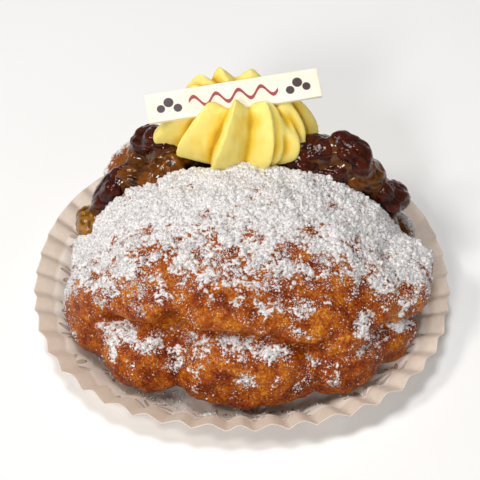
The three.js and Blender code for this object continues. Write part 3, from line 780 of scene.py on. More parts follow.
def white_chocolate():
    """White chocolate poured thin on a sheet and cut into strips, printed with edible ink: ivory, smooth
    and faintly waxy, with a wavy line between two groups of plum-coloured spots."""
    material, add, shader, place = new_material("poured white chocolate")
    along = add("Attribute", {}, "Fac", attribute_name="along")
    across = add("Attribute", {}, "Fac", attribute_name="across")
    cloud = add("TexNoise", {"Vector": place, "Scale": per_size(9), "Detail": 3, "Roughness": 0.5})
    colour = add("ValToRGB", {"Fac": cloud}, stops=[(0.3, "#f6ead0"), (0.7, "#fcf4e2")])
    phase = add("Math", (along, FULL_TURN / PRINT_WAVE_LENGTH), operation="MULTIPLY")
    wave = add("Math", (phase,), operation="SINE")
    wave = add("Math", (wave, PRINT_WAVE_HEIGHT), operation="MULTIPLY")
    off_wave = add("Math", (across, wave), operation="SUBTRACT")
    off_wave = add("Math", (off_wave,), operation="ABSOLUTE")
    reach = add("Math", (along,), operation="ABSOLUTE")
    line = add("MapRange", (off_wave, *PRINT_STROKE_EDGE, 1.0, 0.0))
    within = add("MapRange", (reach, *PRINT_LINE_END, 1.0, 0.0))
    line = add("Math", (line, within), operation="MULTIPLY")
    red = linear_colour("#a30c1a")
    plum = linear_colour("#300c14")
    colour = add("Mix", {MIX_SHARE: line, MIX_FIRST: colour, MIX_SECOND: red}, **COLOURS)
    for step, rise, radius in PRINT_SPOTS:
        aside = add("Math", (reach, step), operation="SUBTRACT")
        above = add("Math", (across, rise), operation="SUBTRACT")
        gap = add("CombineXYZ", {"X": aside, "Y": above})
        gap = add("VectorMath", (gap,), "Value", operation="LENGTH")
        dot = add("MapRange", (gap, radius - PRINT_SPOT_BLUR, radius + PRINT_SPOT_BLUR, 1.0, 0.0))
        colour = add("Mix", {MIX_SHARE: dot, MIX_FIRST: colour, MIX_SECOND: plum}, **COLOURS)
    relief = add("Bump", {"Height": cloud, "Strength": 0.12, "Distance": 0.2 * MM})
    add(shader, {
        "Base Color": colour, "Roughness": 0.4, "IOR": 1.46, "Normal": relief, "Subsurface Weight": 0.06,
        "Subsurface Radius": (1.2, 0.9, 0.6), "Subsurface Scale": MM})
    return material


def greaseproof_paper():
    """Greaseproof paper pressed into flutes: warm grey, fibrous and dull, with painted shade darkening its
    outer band, and a faded print of daisies in grey-brown ink. Its fibres are drawn coarser than real ones,
    so that they show."""
    material, add, shader, place = new_material("pressed greaseproof paper")
    band = add("Attribute", {}, "Fac", attribute_name="band")
    fibre = add("TexNoise", {"Vector": place, "Scale": per_size(1.6), "Detail": 5, "Roughness": 0.65})
    pulp = add("ValToRGB", {"Fac": fibre}, stops=[(0.25, "#ecdfd3"), (0.75, "#f6ece2")])
    # Painted shade: the outer band is given a darker colour for the shade that falls on it.
    outer = add("ValToRGB", {"Fac": fibre}, stops=[(0.25, "#cebfb2"), (0.75, "#dbcdc1")])
    scatter = {"Vector": place, "Scale": per_size(DAISY_SPACING), "Randomness": DAISY_SCATTER}
    centre = add("TexVoronoi", scatter, "Position", voronoi_dimensions="2D")
    from_centre = add("VectorMath", (place, centre), operation="SUBTRACT")
    aside = add("SeparateXYZ", (from_centre,), "X")
    ahead = aside.node.outputs["Y"]
    heading = add("Math", (ahead, aside), operation="ARCTAN2")
    flat = add("CombineXYZ", {"X": aside, "Y": ahead})
    reach = add("VectorMath", (flat,), "Value", operation="LENGTH")
    petals = add("Math", (heading, DAISY_PETALS / 2), operation="MULTIPLY")
    petals = add("Math", (petals,), operation="SINE")
    petals = add("Math", (petals,), operation="ABSOLUTE")
    tip = add("MapRange", (petals, DAISY_PETAL_GAP, 1.0, *(size * MM for size in DAISY_PETAL_LENGTHS)))
    inset = add("Math", (tip, reach), operation="SUBTRACT")
    leaf = add("MapRange", (inset, 0.0, DAISY_BLUR * MM, 0.0, DAISY_INK))
    edge = add("MapRange", (inset, *(size * MM for size in DAISY_OUTLINE), DAISY_OUTLINE_INK, 0.0))
    rim = add("MapRange", (inset, 0.0, DAISY_BLUR * MM, 0.0, 1.0))
    edge = add("Math", (edge, rim), operation="MULTIPLY")
    ink = add("Math", (leaf, edge), operation="ADD")
    heart = add("MapRange", (reach, *(size * MM for size in DAISY_HEART_EDGE), 0.0, 1.0))
    ink = add("Math", (ink, heart), operation="MULTIPLY")
    inner = add("Mix", {MIX_SHARE: ink, MIX_FIRST: pulp, MIX_SECOND: linear_colour("#6e5850")}, **COLOURS)
    colour = add("Mix", {MIX_SHARE: band, MIX_FIRST: inner, MIX_SECOND: outer}, **COLOURS)
    relief = add("Bump", {"Height": fibre, "Strength": 0.15, "Distance": 0.15 * MM})
    add(shader, {
        "Base Color": colour, "Roughness": 0.6, "IOR": 1.5, "Normal": relief, "Subsurface Weight": 0.5,
        "Subsurface Radius": (1.0, 0.85, 0.7), "Subsurface Scale": MM})
    return material


def pale_board():
    """Smooth painted board under the object: matt, almost white and barely clouded."""
    material, add, shader, place = new_material("painted board")
    cloud = add("TexNoise", {"Vector": place, "Scale": per_size(120), "Detail": 2})
    colour = add("ValToRGB", {"Fac": cloud}, stops=[(0.3, "#fafafa"), (0.7, "#fcfcfc")])
    add(shader, {"Base Color": colour, "Roughness": 0.7})
    return material


def case_point(radius, azimuth, height, lift):
    """A point of the fluted case: flat floor, then a wall that opens into pleats."""
    opened = fade(CASE_PLEAT_START, CASE_PLEATED_RADIUS, radius)
    circle = np.stack([np.cos(azimuth), np.sin(azimuth), np.zeros_like(azimuth)], -1).reshape(-1, 3)
    drift = noise(circle * PLEAT_PLACE_CIRCLE, 1, PLEAT_PLACE_SEED).reshape(azimuth.shape)
    turn = (azimuth * CASE_PLEATS / FULL_TURN + PLEAT_PLACE_SPREAD * drift) % 1
    folded = 1 - np.abs(2 * turn - 1)
    crest = CASE_PLEAT_FLATNESS * folded + (1 - CASE_PLEAT_FLATNESS) * np.sin(math.pi * turn)
    swell = noise(circle * PLEAT_HEIGHT_CIRCLE, 1, PLEAT_HEIGHT_SEED).reshape(azimuth.shape)
    swell = PLEAT_HEIGHT_MEAN + PLEAT_HEIGHT_SPREAD * swell
    squared = radius * (1 - CASE_SQUARENESS * opened * np.cos(4 * azimuth))
    out = squared - CASE_PLEAT_PULL * opened * crest * swell
    z = height + lift + CASE_PLEAT_LIFT * opened * crest * swell
    return np.stack([out * np.cos(azimuth), out * np.sin(azimuth), z], -1)


def paper_case(sugar):
    """The fluted paper case, with its two faces and its thin edge, and the sugar that fell on it."""
    steps = CASE_PLEATS * CASE_STEPS_PER_PLEAT
    azimuth = FULL_TURN * np.arange(steps) / steps
    inner = np.linspace(CASE_INNER_RADIUS, CASE_FLOOR_RADIUS, CASE_FLOOR_RINGS + 1)[:-1]
    floor = np.stack([inner, np.zeros(CASE_FLOOR_RINGS)], 1)
    wall = smooth_line([
        (CASE_FLOOR_RADIUS, 0), ((CASE_FLOOR_RADIUS + CASE_BAND_RADIUS) / 2, CASE_BAND_HEIGHT / 2),
        (CASE_BAND_RADIUS, CASE_BAND_HEIGHT), (CASE_RIM_RADIUS, CASE_RIM_HEIGHT)], CASE_WALL_RINGS)
    under = np.concatenate([floor, wall])
    radius, height = (np.concatenate([part, part[::-1]])[:, None] + 0 * azimuth for part in under.T)
    lift = np.repeat([0, CASE_WALL_RISE], len(under))[:, None]
    rings = case_point(radius, azimuth + 0 * radius, height, lift)
    points, triangles = closed_form((0, 0, 0), rings, (0, 0, CASE_WALL_RISE))
    band = fade(CASE_BAND_RADIUS - CASE_BAND_EDGE, CASE_BAND_RADIUS + CASE_BAND_EDGE, radius).ravel()
    band = np.concatenate([[0], band, [0]])
    paper = make_piece("case_paper", points, triangles, greaseproof_paper(), band=band)
    return paper, fallen_sugar(points, triangles, sugar)


def fallen_sugar(points, triangles, material):
    """Icing sugar that fell past the bun onto the paper in front of it."""
    normal = normals_of(points, triangles)
    radius = np.hypot(points[:, 0], points[:, 1])
    azimuth = np.arctan2(points[:, 1], points[:, 0])
    spread = np.exp(-(turn_from(FALLEN_AZIMUTH, azimuth) / FALLEN_SPREAD) ** 2)
    near = fade(FALLEN_FROM - FALLEN_EDGE, FALLEN_FROM, radius) * fade(FALLEN_TO, FALLEN_FROM, radius)
    density = spread * near * np.exp(layered_noise(points, FALLEN_FLURRIES)) * (normal[:, 2] > 0)
    surface = (points, triangles, normal, np.full(len(points), FALLEN_LIFT))
    draw = np.random.default_rng(FALLEN_SEED)
    return loose_sugar("icing_sugar_fallen", crystal_shape(), FALLEN_GRAINS, SUGAR_GRAINS.radii, density,
                       surface, draw, material)


def turn_from(degrees, azimuth):
    """How far an azimuth in radians has turned from one in degrees, within half a turn."""
    return (np.degrees(azimuth) - degrees + 180) % 360 - 180


def lobe_bulge(lobe, azimuth, height):
    """1 at the middle of a lobe of the bun, falling roundly to 0 at its edges."""
    aside = turn_from(lobe.azimuth, azimuth) / lobe.half_width
    top = lobe.top + lobe.lean * np.clip(aside, -1, 1)
    above = np.maximum(0, height - lobe.middle) / (top - lobe.middle)
    below = np.maximum(0, lobe.middle - height) / (lobe.middle - lobe.foot)
    return np.sqrt(np.maximum(0, 1 - aside ** 2 - above ** 2 - below ** 2))


def dent_depth(dent, azimuth, height):
    """How far a dent presses the bun in."""
    turn = turn_from(dent.azimuth, azimuth)
    off_line = height - dent.height - dent.slope * turn
    return dent.depth * np.exp(-(turn / dent.spread) ** 2 - (off_line / dent.tall) ** 2)


def bun_form():
    """The risen dough before it is slit: a dome that steps back in front, over a foot of puffy lobes."""
    azimuth = FULL_TURN * np.arange(BUN_SEGMENTS) / BUN_SEGMENTS
    front = smooth_line(BUN_FRONT_PROFILE, BUN_RINGS)[1:-1, :, None]
    side = smooth_line(BUN_SIDE_PROFILE, BUN_RINGS)[1:-1, :, None]
    sideward = fade(BUN_SIDE_FROM, BUN_SIDE_FULL, np.abs(np.cos(azimuth)))
    share, height = np.moveaxis(front + (side - front) * sideward, 1, 0)
    height = np.maximum(height, BUN_BOTTOM)
    rise = CREASE_RISE * np.exp(-(turn_from(CREASE_AZIMUTH, azimuth) / CREASE_SPREAD) ** 2)
    height = height + (rise * fade(CREASE_FROM, CREASE_FULL, height)
                       * (1 - fade(CREASE_EASE, CREASE_GONE, height)))
    step = DOME_STEP * np.exp(-(turn_from(DOME_STEP_AZIMUTH, azimuth) / DOME_STEP_SPREAD) ** 2)
    share = share * (1 - step * fade(DOME_STEP_FROM, DOME_STEP_FULL, height)
                     * (1 - fade(DOME_STEP_FULL, DOME_STEP_GONE, height)))
    out = [(lobe.reach - share) * lobe_bulge(lobe, azimuth, height) for lobe in LOBES]
    share = share + np.max(out, axis=0)
    plan = (np.abs(np.cos(azimuth) / BUN_HALF_WIDTH) ** BUN_SQUARENESS
            + np.abs(np.sin(azimuth) / BUN_HALF_DEPTH) ** BUN_SQUARENESS) ** (-1 / BUN_SQUARENESS)
    radius = share * (plan - dent_depth(PINCH, azimuth, height) - dent_depth(RIGHT_LEDGE, azimuth, height))
    x = BUN_CENTRE[0] + radius * np.cos(azimuth)
    y = BUN_CENTRE[1] + radius * np.sin(azimuth)
    drop = DOME_DROP * fade(DOME_DROP_LOW, DOME_DROP_HIGH, height) * fade(DOME_DROP_FROM, DOME_DROP_TO, x)
    ranges = zip(BACK_LIFT_FROM, BACK_LIFT_FULL, (x, y, height))
    lift = BACK_LIFT * np.prod([fade(low, high, value) for low, high, value in ranges], axis=0)
    z = height * (1 - drop) + lift * (1 - fade(BACK_LIFT_GONE, BUN_TOP, height))
    return closed_form((*BUN_CENTRE, BUN_BOTTOM), np.stack([x, y, z], -1), (*BUN_CENTRE, BUN_TOP))


def slit_back(z):
    """The y of the back wall of the slit at a height."""
    return SLIT_FRONT + SLIT_BOTTOM_WIDTH + SLIT_BACK_SLOPE * (z - SLIT_BOTTOM)


def prism(section, x_low, x_high):
    """A closed prism along X of a section given as (y, z) points, anticlockwise seen from +X."""
    count = len(section)
    points = np.array([(x, y, z) for x in (x_low, x_high) for y, z in section], float)
    spot = np.arange(count)
    beside = (spot + 1) % count
    fan = np.stack([np.zeros(count - 2, int), spot[1:-1], spot[2:]], 1)
    walls = np.concatenate([
        np.stack([spot, beside, beside + count], 1), np.stack([spot, beside + count, spot + count], 1)])
    return points, np.concatenate([fan[:, ::-1], fan + count, walls])


def slit_cutter():
    """The wedge of dough that the slit takes out, as a hidden object."""
    section = [
        (SLIT_FRONT, SLIT_BOTTOM), (slit_back(SLIT_BOTTOM), SLIT_BOTTOM), (slit_back(SLIT_TOP), SLIT_TOP),
        (SLIT_FRONT, SLIT_TOP)]
    return make_piece("slit_cutter", *prism(section, -SLIT_LENGTH / 2, SLIT_LENGTH / 2), None)


def in_slit(points):
    """1 for points on the walls of the slit and 0 on the fried skin."""
    front = fade(*SLIT_WALL_EDGE, points[:, 1] - SLIT_FRONT)
    back = fade(*SLIT_WALL_EDGE, slit_back(points[:, 2]) - points[:, 1])
    return front * back * fade(*SLIT_FLOOR_EDGE, points[:, 2])


def fried_bun():
    """The slit bun with its blisters, dents and wrinkles, as points and triangles."""
    points, triangles = carved(bun_form(), slit_cutter(), BUN_VOXEL)
    points = relaxed(points, triangles, SKIN_EVEN_ROUNDS)
    soft = relaxed(points, triangles, SKIN_SOFT_ROUNDS)
    sharp = fade(*SKIN_SHARPNESS, np.linalg.norm(soft - points, axis=1))[:, None]
    softness = SKIN_SOFTNESS + SKIN_DOME_SOFTNESS * fade(*SKIN_DOME_HEIGHTS, points[:, 2:])
    points = points + (soft - points) * sharp * softness
    normal = relaxed(normals_of(points, triangles), triangles, SKIN_EVEN_ROUNDS)
    rise = layered_noise(points, *SKIN_RELIEF) * fade(*SKIN_RELIEF_HEIGHTS, points[:, 2])
    rise = rise * (1 - SLIT_RELIEF_LOSS * in_slit(points))
    return points + normal * rise[:, None], triangles


def sugar_cover(points, tilt, hollow):
    """How thickly the sugar lies: thick along the slit, thin far from it, caught on the ledges."""
    x, y, z = points.T
    away = np.abs(y - SUGAR_LINE)
    caught = np.clip(hollow, 0, 1)
    patches = layered_noise(points, *SUGAR_PATCHES)
    dome = np.minimum(SUGAR_LINE_COVER - SUGAR_THINNING * away, SUGAR_FULL_COVER)
    dome = dome - SUGAR_STEEP_LOSS * np.maximum(tilt - SUGAR_STEEP_TILT, 0) + SUGAR_DOME_CATCH * caught
    dome = dome - SUGAR_RIGHT_LOSS * fade(*SUGAR_RIGHT_X, x) * fade(*SUGAR_RIGHT_AWAY, away) + patches
    ragged = tilt + layered_noise(points, LEDGE_RAGGEDNESS)
    ledge = LEDGE_COVER * fade(*LEDGE_HEIGHTS, z) * fade(*LEDGE_TILTS, ragged) + LEDGE_CATCH * caught
    ledge = np.minimum(ledge + LEDGE_PATCHINESS * patches, LEDGE_LIMIT)
    azimuth = np.arctan2(y - BUN_CENTRE[1], x - BUN_CENTRE[0])
    string = STRING_COVER * dent_depth(RIGHT_LEDGE, azimuth, z) / RIGHT_LEDGE.depth
    return np.maximum.reduce([dome, ledge, string + patches])


def sugar_rise(points, cover):
    """Height of the caked sugar above the crust, below 0 where the crust is bare."""
    cake = layered_noise(points, *SUGAR_CAKE)
    clumps = SUGAR_CLUMP_REACH - cells(points, SUGAR_CLUMP_SPACING, SUGAR_CLUMP_SEED)
    return SUGAR_DEPTH * (SUGAR_BUILD_UP * (cover - SUGAR_BARE_COVER) + cake + SUGAR_CLUMP_HEIGHT * clumps)


def sugar_blanket(points, triangles, normal, cover, material):
    """The caked sugar: a finer copy of the crust where it is covered, raised into clumps with ragged
    edges."""
    covered = cover[triangles].max(axis=1) > BLANKET_LEAST_COVER
    fields = np.concatenate([points, normal, cover[:, None]], 1)
    fields, triangles = only_used(fields, triangles[covered])
    fields, triangles = split_finer(fields, triangles)
    rise = sugar_rise(fields[:, :3], fields[:, 6])
    fields, triangles, rise = only_used(fields, triangles[rise[triangles].max(axis=1) > 0], rise)
    points = fields[:, :3] + fields[:, 3:6] * np.maximum(rise, -BLANKET_EDGE_SINK)[:, None]
    return make_piece("icing_sugar_blanket", points, triangles, material, depth=np.clip(rise, 0, 1))


def scattered(points, triangles, density, count, draw):
    """Draws spots on a mesh by density: three corners and their shares for each."""
    first, second, third = (points[triangles[:, side]] for side in range(3))
    area = np.linalg.norm(np.cross(second - first, third - first), axis=1)
    weight = area * density[triangles].mean(axis=1)
    chosen = triangles[draw.choice(len(triangles), count, p=weight / weight.sum())]
    share = draw.dirichlet([1, 1, 1], count)
    return chosen, share


def ball_shape(subdivisions):
    """Points and triangles of a ball of radius 1."""
    mould = bmesh.new()
    bmesh.ops.create_icosphere(mould, subdivisions=subdivisions, radius=1)
    return emptied(mould)


def crystal_shape():
    """Points and triangles of a crystal with six corners and radius 1."""
    points = np.concatenate([np.eye(3), -np.eye(3)])
    sides = [(x, y, z) for x in (0, 3) for y in (1, 4) for z in (2, 5)]
    triangles = np.array([(x, y, z) if (x + y + z) % 2 else (x, z, y) for x, y, z in sides])
    return points, triangles


def speck_shape():
    """Points and triangles of a speck with four corners and radius 1."""
    points = np.array([(1, 1, 1), (1, -1, -1), (-1, 1, -1), (-1, -1, 1)]) / math.sqrt(3)
    return points, np.array([(0, 1, 2), (0, 2, 3), (0, 3, 1), (1, 3, 2)])


def uneven_copies(shape, triangles, places, sizes, draw):
    """Many uneven, turned copies of one shape joined into one mesh."""
    count = len(places)
    turns = draw.normal(size=(count, 4))
    turns /= np.linalg.norm(turns, axis=1, keepdims=True)
    w, x, y, z = turns.T
    spin = np.stack([
        1 - 2 * (y * y + z * z), 2 * (x * y - w * z), 2 * (x * z + w * y),
        2 * (x * y + w * z), 1 - 2 * (x * x + z * z), 2 * (y * z - w * x),
        2 * (x * z - w * y), 2 * (y * z + w * x), 1 - 2 * (x * x + y * y)], 1).reshape(-1, 3, 3)
    uneven = 1 + GRAIN_UNEVENNESS * draw.uniform(-1, 1, (count, len(shape), 1))
    copies = np.einsum("nij,nkj->nki", spin, shape * uneven) * sizes[:, None, None] + places[:, None]
    faces = triangles + len(shape) * np.arange(count)[:, None, None]
    return copies.reshape(-1, 3), faces.reshape(-1, 3)


def loose_sugar(name, shape, count, radii, density, surface, draw, material):
    """Loose sugar of one kind, lying on a surface and its caked sugar as thickly as the density says."""
    points, triangles, normal, rise = surface
    chosen, share = scattered(points, triangles, density, count, draw)
    low, high = radii
    sizes = low * (high / low) ** draw.random(count) ** GRAIN_SIZE_SKEW
    spots = np.sum(points[chosen] * share[:, :, None], axis=1)
    out = np.sum(normal[chosen] * share[:, :, None], axis=1)
    above = np.sum(rise[chosen] * share, axis=1) + GRAIN_LIFT * sizes
    points, triangles = uneven_copies(*shape, spots + out * above[:, None], sizes, draw)
    return make_piece(name, points, triangles, material, depth=np.ones(len(points)))


def sugar_pieces(points, triangles, normal, cover, sheltered, material):
    """The sugar on the bun: a caked blanket, loose grains where it thins out and fine specks all over."""
    draw = np.random.default_rng(SUGAR_SEED)
    surface = (points, triangles, normal, np.maximum(sugar_rise(points, cover), 0))
    flurry = (1 - sheltered) * np.exp(layered_noise(points, *SUGAR_FLURRIES))
    pieces = [sugar_blanket(points, triangles, normal, cover, material)]
    kinds = {
        "icing_sugar_grains": (crystal_shape(), SUGAR_GRAINS),
        "icing_sugar_specks": (speck_shape(), SUGAR_SPECKS),
    }
    for name, (shape, kind) in kinds.items():
        density = flurry * np.clip(kind.gain * cover + kind.start, kind.least, 1)
        density = density * (1 - kind.loss * fade(*kind.hidden, cover))
        pieces.append(loose_sugar(name, shape, kind.count, kind.radii, density, surface, draw, material))
    return pieces


def bun_pieces(sugar):
    """The bun and the sugar on it."""
    points, triangles = fried_bun()
    height = points[:, 2]
    normal = normals_of(points, triangles)
    level = relaxed(normal, triangles, TILT_ROUNDS)[:, 2]
    tilt = np.degrees(np.arccos(np.clip(level, -1, 1)))
    bump = hollowness(points, triangles, BUMP_ROUNDS)
    crumb = fade(*CRUMB_EDGE, relaxed(in_slit(points), triangles, CRUMB_ROUNDS))
    crumb = crumb * fade(*CRUMB_ABOVE_HEAP, height - heap_height(points[:, 0]))
    sheltered = np.maximum.reduce([crumb, fade(*SHELTER_TILTS, tilt), fade(*SHELTER_HEIGHTS, height)])
    cover = sugar_cover(points, tilt, bump) - SHELTER_LOSS * sheltered
    browning = BROWNING + BROWNING_AT_FOOT * fade(*BROWNING_FOOT_HEIGHTS, height)
    browning = browning + BROWNING_OF_RIDGES * np.clip(bump, -BROWNING_RIDGE_LIMIT, 0)
    dust = np.clip(cover, 0, 1) * CRUST_DUST
    tones = {"browning": browning, "dust": dust, "crumb": crumb}
    crust = make_piece("bun_crust", points, triangles, fried_crust(), **tones)
    return crust, sugar_pieces(points, triangles, normal, cover, sheltered, sugar)


def seeded_spread(seed):
    """A repeatable draw: each call gives a number within plus or minus half a width."""
    state = seed * 16807 ** 2 % 2147483647

    def spread(width):
        nonlocal state
        state = state * 16807 % 2147483647
        return width * (state / 2147483647 - 0.5)
    return spread


def heap_height(x):
    """Height of the heap's arch at a place along the slit."""
    share = (x - HEAP_CENTRE_X) / HEAP_HALF_WIDTH
    return HEAP_FOOT + HEAP_RISE * np.sqrt(np.maximum(0, 1 - share ** 2))


def raisin_places(spread):
    """Where each raisin of the heap lies, how it follows the arch and which kind it is."""
    places = []
    for row in RAISIN_ROWS:
        for along, kind in zip(np.linspace(row.first, row.last, len(row.kinds)), row.kinds):
            x = along + spread(RAISIN_SHIFT)
            y = row.y + spread(RAISIN_SHIFT)
            z = heap_height(x) + row.lift + spread(RAISIN_SHIFT)
            share = np.clip((along - HEAP_CENTRE_X) / HEAP_HALF_WIDTH, -1, 1)
            fall = math.asin(share) * HEAP_RISE / HEAP_HALF_WIDTH
            places.append((np.array([x, y, z]), fall, kind))
    return places


def under_swirl(place):
    """Whether a raisin is hidden by the custard."""
    aside = (place[0] - SWIRL_CENTRE[0]) / SWIRL_HALF_WIDTH
    behind = (place[1] - SWIRL_CENTRE[1]) / SWIRL_HALF_DEPTH
    return math.hypot(aside, behind) < SWIRL_COVER


def raisin(shape, spread, place, fall, number):
    """One raisin: a squeezed oval with long wrinkles and dents, turned and set on the heap."""
    length = RAISIN_LENGTH * (1 + spread(RAISIN_SIZE_SPREAD)) / 2
    width = RAISIN_WIDTH * (1 + spread(RAISIN_SIZE_SPREAD)) / 2
    roll = Matrix.Rotation(spread(RAISIN_TURN), 3, "Y")
    turn = Matrix.Rotation(spread(RAISIN_TURN), 3, "Z")
    tip = Matrix.Rotation(fall + spread(RAISIN_TILT), 3, "Y")
    points = shape * np.array([length, width, width * RAISIN_FLATNESS])
    rise = RAISIN_SWELL + RAISIN_DENTS.height * noise(points, RAISIN_DENTS.size, RAISIN_DENTS.seed + number)
    for wrinkle in RAISIN_WRINKLES:
        waves = noise(points * RAISIN_WRINKLE_STRETCH, wrinkle.size, wrinkle.seed + number)
        rise = rise - wrinkle.depth * (1 - fade(0, wrinkle.width, np.abs(waves)))
    points = points + shape * rise[:, None]
    return points @ np.array((tip @ turn @ roll).transposed()) + place


def heap_core():
    """The body of the heap under the raisins: an arched slab that fills the slit."""
    steps = np.linspace(0, math.pi, HEAP_CORE_STEPS + 1)
    x = HEAP_CENTRE_X + (HEAP_HALF_WIDTH - HEAP_CORE_INSET) * np.cos(steps)
    z = np.append(heap_height(x) - HEAP_CORE_SINK, [HEAP_CORE_FOOT, HEAP_CORE_FOOT])
    x = np.append(x, x[[-1, 0]])
    z = np.maximum(z, HEAP_CORE_FOOT)
    front = np.stack([x, np.full(len(x), SLIT_FRONT + HEAP_CORE_GAP), z], 1)
    back = np.stack([x, slit_back(z) - HEAP_CORE_GAP, z], 1)
    count = len(x)
    spot = np.arange(count)
    beside = (spot + 1) % count
    points = np.concatenate([front, back, [front.mean(axis=0)], [back.mean(axis=0)]])
    walls = [np.stack([spot, beside + count, beside], 1), np.stack([spot, spot + count, beside + count], 1)]
    ends = [np.stack([spot, beside, np.full(count, 2 * count)], 1),
            np.stack([beside + count, spot + count, np.full(count, 2 * count + 1)], 1)]
    return points, np.concatenate(walls + ends)


def raisin_pieces():
    """The raisins, one mesh for each kind, and the syrup that binds them over the heap's core."""
    spread = seeded_spread(RAISIN_SEED)
    shape, faces = ball_shape(RAISIN_SUBDIVISIONS)
    heaps = {letter: [] for letter in RAISIN_KINDS}
    bodies = [heap_core()]
    for number, (place, fall, letter) in enumerate(raisin_places(spread)):
        points = raisin(shape, spread, place, fall, number)
        if not under_swirl(place):
            heaps[letter].append((points, faces))
            bodies.append((place + SYRUP_SWELL * (points - place), faces))
    pieces = []
    for letter, kind in RAISIN_KINDS.items():
        points, triangles = joined(heaps[letter])
        # Painted shade: how deep each point lies in a hollow, which darkens the skin there.
        hollow = hollowness(points, triangles, RAISIN_HOLLOW_ROUNDS)
        hollow = np.clip(hollow, -RAISIN_HOLLOW_LIMIT, RAISIN_HOLLOW_LIMIT)
        pieces.append(make_piece(kind.piece, points, triangles, soaked_raisin(kind), hollow=hollow))
    points, triangles = modified(*joined(bodies), even_mesh(SYRUP_VOXEL))
    points = relaxed(points, triangles, SYRUP_ROUNDS)
    points = points - SYRUP_SHRINK * normals_of(points, triangles)
    pieces.append(make_piece("raisin_syrup", points, triangles, raisin_syrup()))
    return pieces


def label_matrix():
    """Turns the label's own millimetre frame into the object's."""
    lean = Matrix.Rotation(LABEL_YAW, 4, "Z") @ Matrix.Rotation(LABEL_LEAN, 4, "X")
    return np.array(Matrix.Translation(LABEL_CENTRE) @ lean @ Matrix.Rotation(LABEL_ROLL, 4, "Z"))


def label_form(grow, bevel, cuts):
    """The label's plate with softened edges, as placed points, triangles and points in its own frame."""
    mould = bmesh.new()
    bmesh.ops.create_cube(mould, size=1)
    size = (LABEL_LENGTH + 2 * grow, LABEL_WIDTH + 2 * grow, LABEL_THICKNESS + 2 * grow)
    bmesh.ops.scale(mould, vec=size, verts=mould.verts)
    if bevel:
        bmesh.ops.bevel(mould, geom=mould.edges, offset=bevel, segments=LABEL_BEVEL_STEPS, profile=0.5,
                        affect="EDGES")
    if cuts:
        long_edges = [edge for edge in mould.edges if edge.calc_length() > LABEL_WIDTH / 2]
        bmesh.ops.subdivide_edges(mould, edges=long_edges, cuts=cuts, use_grid_fill=True)
    bmesh.ops.triangulate(mould, faces=mould.faces)
    own, triangles = emptied(mould)
    matrix = label_matrix()
    return own @ matrix[:3, :3].T + matrix[:3, 3], triangles, own


def label():
    """The label, slightly wavy as poured chocolate sets."""
    points, triangles, own = label_form(0, LABEL_BEVEL, LABEL_CUTS)
    wavy = layered_noise(own * (1, 1, 0), *LABEL_WAVES)
    points = points + label_matrix()[:3, 2] * wavy[:, None]
    along, across, _ = own.T
    return make_piece("label_plate", points, triangles, white_chocolate(), along=along, across=across)


def swirl_form():
    """The custard as piped: fins from a star nozzle that lean and rise to uneven tips round a hollow."""
    ridge = smooth_line(SWIRL_RIDGE, SWIRL_RINGS)[1:-1]
    valley = smooth_line(SWIRL_VALLEY, SWIRL_RINGS)[1:-1]
    grooves, ridges, reaches, tips, feet, swells = np.array(SWIRL_FINS).T
    number, step = np.divmod(np.arange(len(SWIRL_FINS) * SWIRL_STEPS_PER_FIN), SWIRL_STEPS_PER_FIN)
    way = 2 * step / SWIRL_STEPS_PER_FIN
    rising = way < 1
    ahead = np.where(rising, ridges[number] * way, 1 + (1 - ridges[number]) * (way - 2))
    gaps = np.diff(np.append(grooves, grooves[0] + 360))
    azimuth = np.radians(grooves[number] + gaps[number] * ahead)
    depths = np.minimum(1, np.minimum(gaps, np.roll(gaps, 1)) / SWIRL_FIN_SPACING)
    beside = np.where(rising, number, (number + 1) % len(gaps))
    climb = np.where(rising, way, 2 - way)
    flank = np.where(rising, ridges[number], 1 - ridges[number])
    rib = climb * (1 + swells[number] * flank * (1 - climb))
    fin = 1 - depths[beside] * (1 - rib)
    reach = 1 + rib * (reaches[number] - 1)
    tip = rib * tips[number]
    foot = SWIRL_FOOT + rib * feet[number]
    share = (valley[:, :1] + (ridge[:, :1] - valley[:, :1]) * fin) * reach
    z = valley[:, 1:] + (ridge[:, 1:] - valley[:, 1:]) * fin
    z = np.maximum(z + tip * fade(SWIRL_TIP_FROM, SWIRL_TIP_FULL, z), foot)
    twist = azimuth + SWIRL_TWIST * (z - SWIRL_FOOT) / (SWIRL_TOP - SWIRL_FOOT)
    x = SWIRL_CENTRE[0] + share * SWIRL_HALF_WIDTH * np.cos(twist)
    y = SWIRL_CENTRE[1] + share * SWIRL_HALF_DEPTH * np.sin(twist)
    return closed_form((*SWIRL_CENTRE, SWIRL_FOOT), np.stack([x, y, z], -1), (*SWIRL_CENTRE, SWIRL_TOP))


def custard():
    """The piped custard, pressed round the label."""
    bed = make_piece("label_bed", *label_form(LABEL_BED_GAP, 0, 0)[:2], None)
    points, triangles = largest_body(*carved(swirl_form(), bed, SWIRL_VOXEL))
    points = relaxed(points, triangles, CUSTARD_ROUNDS)
    rise = layered_noise(points, CUSTARD_LUMPS) + layered_noise(points * CUSTARD_DRAG_STRETCH, CUSTARD_DRAG)
    points = points + normals_of(points, triangles) * rise[:, None]
    # Painted shade: the deeper a point lies in a groove, the darker the yellow painted on it.
    hollow = CUSTARD_GROOVE_SHADE * hollowness(points, triangles, CUSTARD_HOLLOW_ROUNDS)
    hollow = np.clip(CUSTARD_FLAT_SHADE + hollow, 0, 1)
    return make_piece("custard_piped", points, triangles, piped_custard(), hollow=hollow)


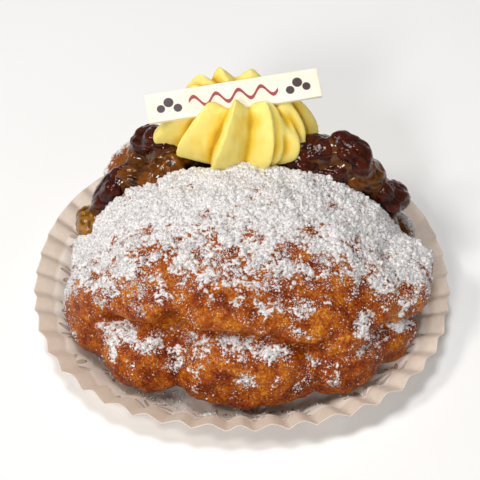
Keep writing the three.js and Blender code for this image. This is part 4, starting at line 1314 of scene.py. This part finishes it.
def soft_light(lamp):
    """A large soft lamp aimed at the bun."""
    light = bpy.data.lights.new(lamp.name, "AREA")
    light.shape = "DISK"
    light.size = lamp.size * MM
    light.energy = lamp.watts
    light.color = linear_colour(lamp.colour)[:3]
    place, target = (Vector([part * MM for part in spot]) for spot in (lamp.place, LAMP_TARGET))
    holder = bpy.data.objects.new(lamp.name, light)
    holder.location = place
    holder.rotation_euler = (target - place).to_track_quat("-Z", "Y").to_euler()
    bpy.context.collection.objects.link(holder)


def studio():
    """A pale floor, soft light from the upper left and near-white surroundings."""
    corners = [(-1, -1), (1, -1), (1, 1), (-1, 1)]
    points = np.array([(FLOOR_HALF_WIDTH * x, FLOOR_HALF_WIDTH * y, FLOOR_LEVEL) for x, y in corners])
    floor = make_piece("floor", points, np.array([[0, 1, 2], [0, 2, 3]]), pale_board())
    for lamp in LAMPS:
        soft_light(lamp)
    world = bpy.data.worlds.new("studio")
    world.use_nodes = True
    background = world.node_tree.nodes["Background"]
    background.inputs["Color"].default_value = linear_colour(SURROUNDINGS)
    background.inputs["Strength"].default_value = SURROUNDINGS_STRENGTH
    bpy.context.scene.world = world
    bpy.context.scene.view_settings.view_transform = "Standard"


def camera():
    """The photograph's view: the rim's centre lands a little below the middle of the picture."""
    view = bpy.data.cameras.new("camera")
    view.sensor_width = SENSOR
    view.lens = SENSOR * CAMERA_FOCAL_PIXELS / IMAGE_PIXELS
    holder = bpy.data.objects.new("camera", view)
    back = CAMERA_DISTANCE * math.cos(CAMERA_ELEVATION)
    up = CAMERA_AIM_HEIGHT + CAMERA_DISTANCE * math.sin(CAMERA_ELEVATION)
    holder.location = Vector((0, -back, up)) * MM
    raised = math.atan((RIM_CENTRE_PIXEL[1] - IMAGE_PIXELS / 2) / CAMERA_FOCAL_PIXELS)
    turned = math.atan((RIM_CENTRE_PIXEL[0] - IMAGE_PIXELS / 2) / CAMERA_FOCAL_PIXELS)
    holder.rotation_euler = (math.pi / 2 - CAMERA_ELEVATION + raised, 0, turned)
    bpy.context.collection.objects.link(holder)
    bpy.context.scene.camera = holder


def settle(piece, slot, *nodes):
    """Fixes a piece to the object and hides the solids that it stands for. Its finish is not used."""
    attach(piece, "root")
    if nodes:
        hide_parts(*nodes)


camera()
studio()
sugar = icing_sugar()
paper, fallen = paper_case(sugar)
settle(paper, "case_paper", "paper_case")
crust, layers = bun_pieces(sugar)
settle(crust, "fried_dough", "bun")
for layer in (*layers, fallen):
    settle(layer, None)
for heap in raisin_pieces():
    settle(heap, "raisin_syrup", "raisin_filling")
settle(custard(), "custard", "custard_swirl")
settle(label(), "white_chocolate", "label_plaque")
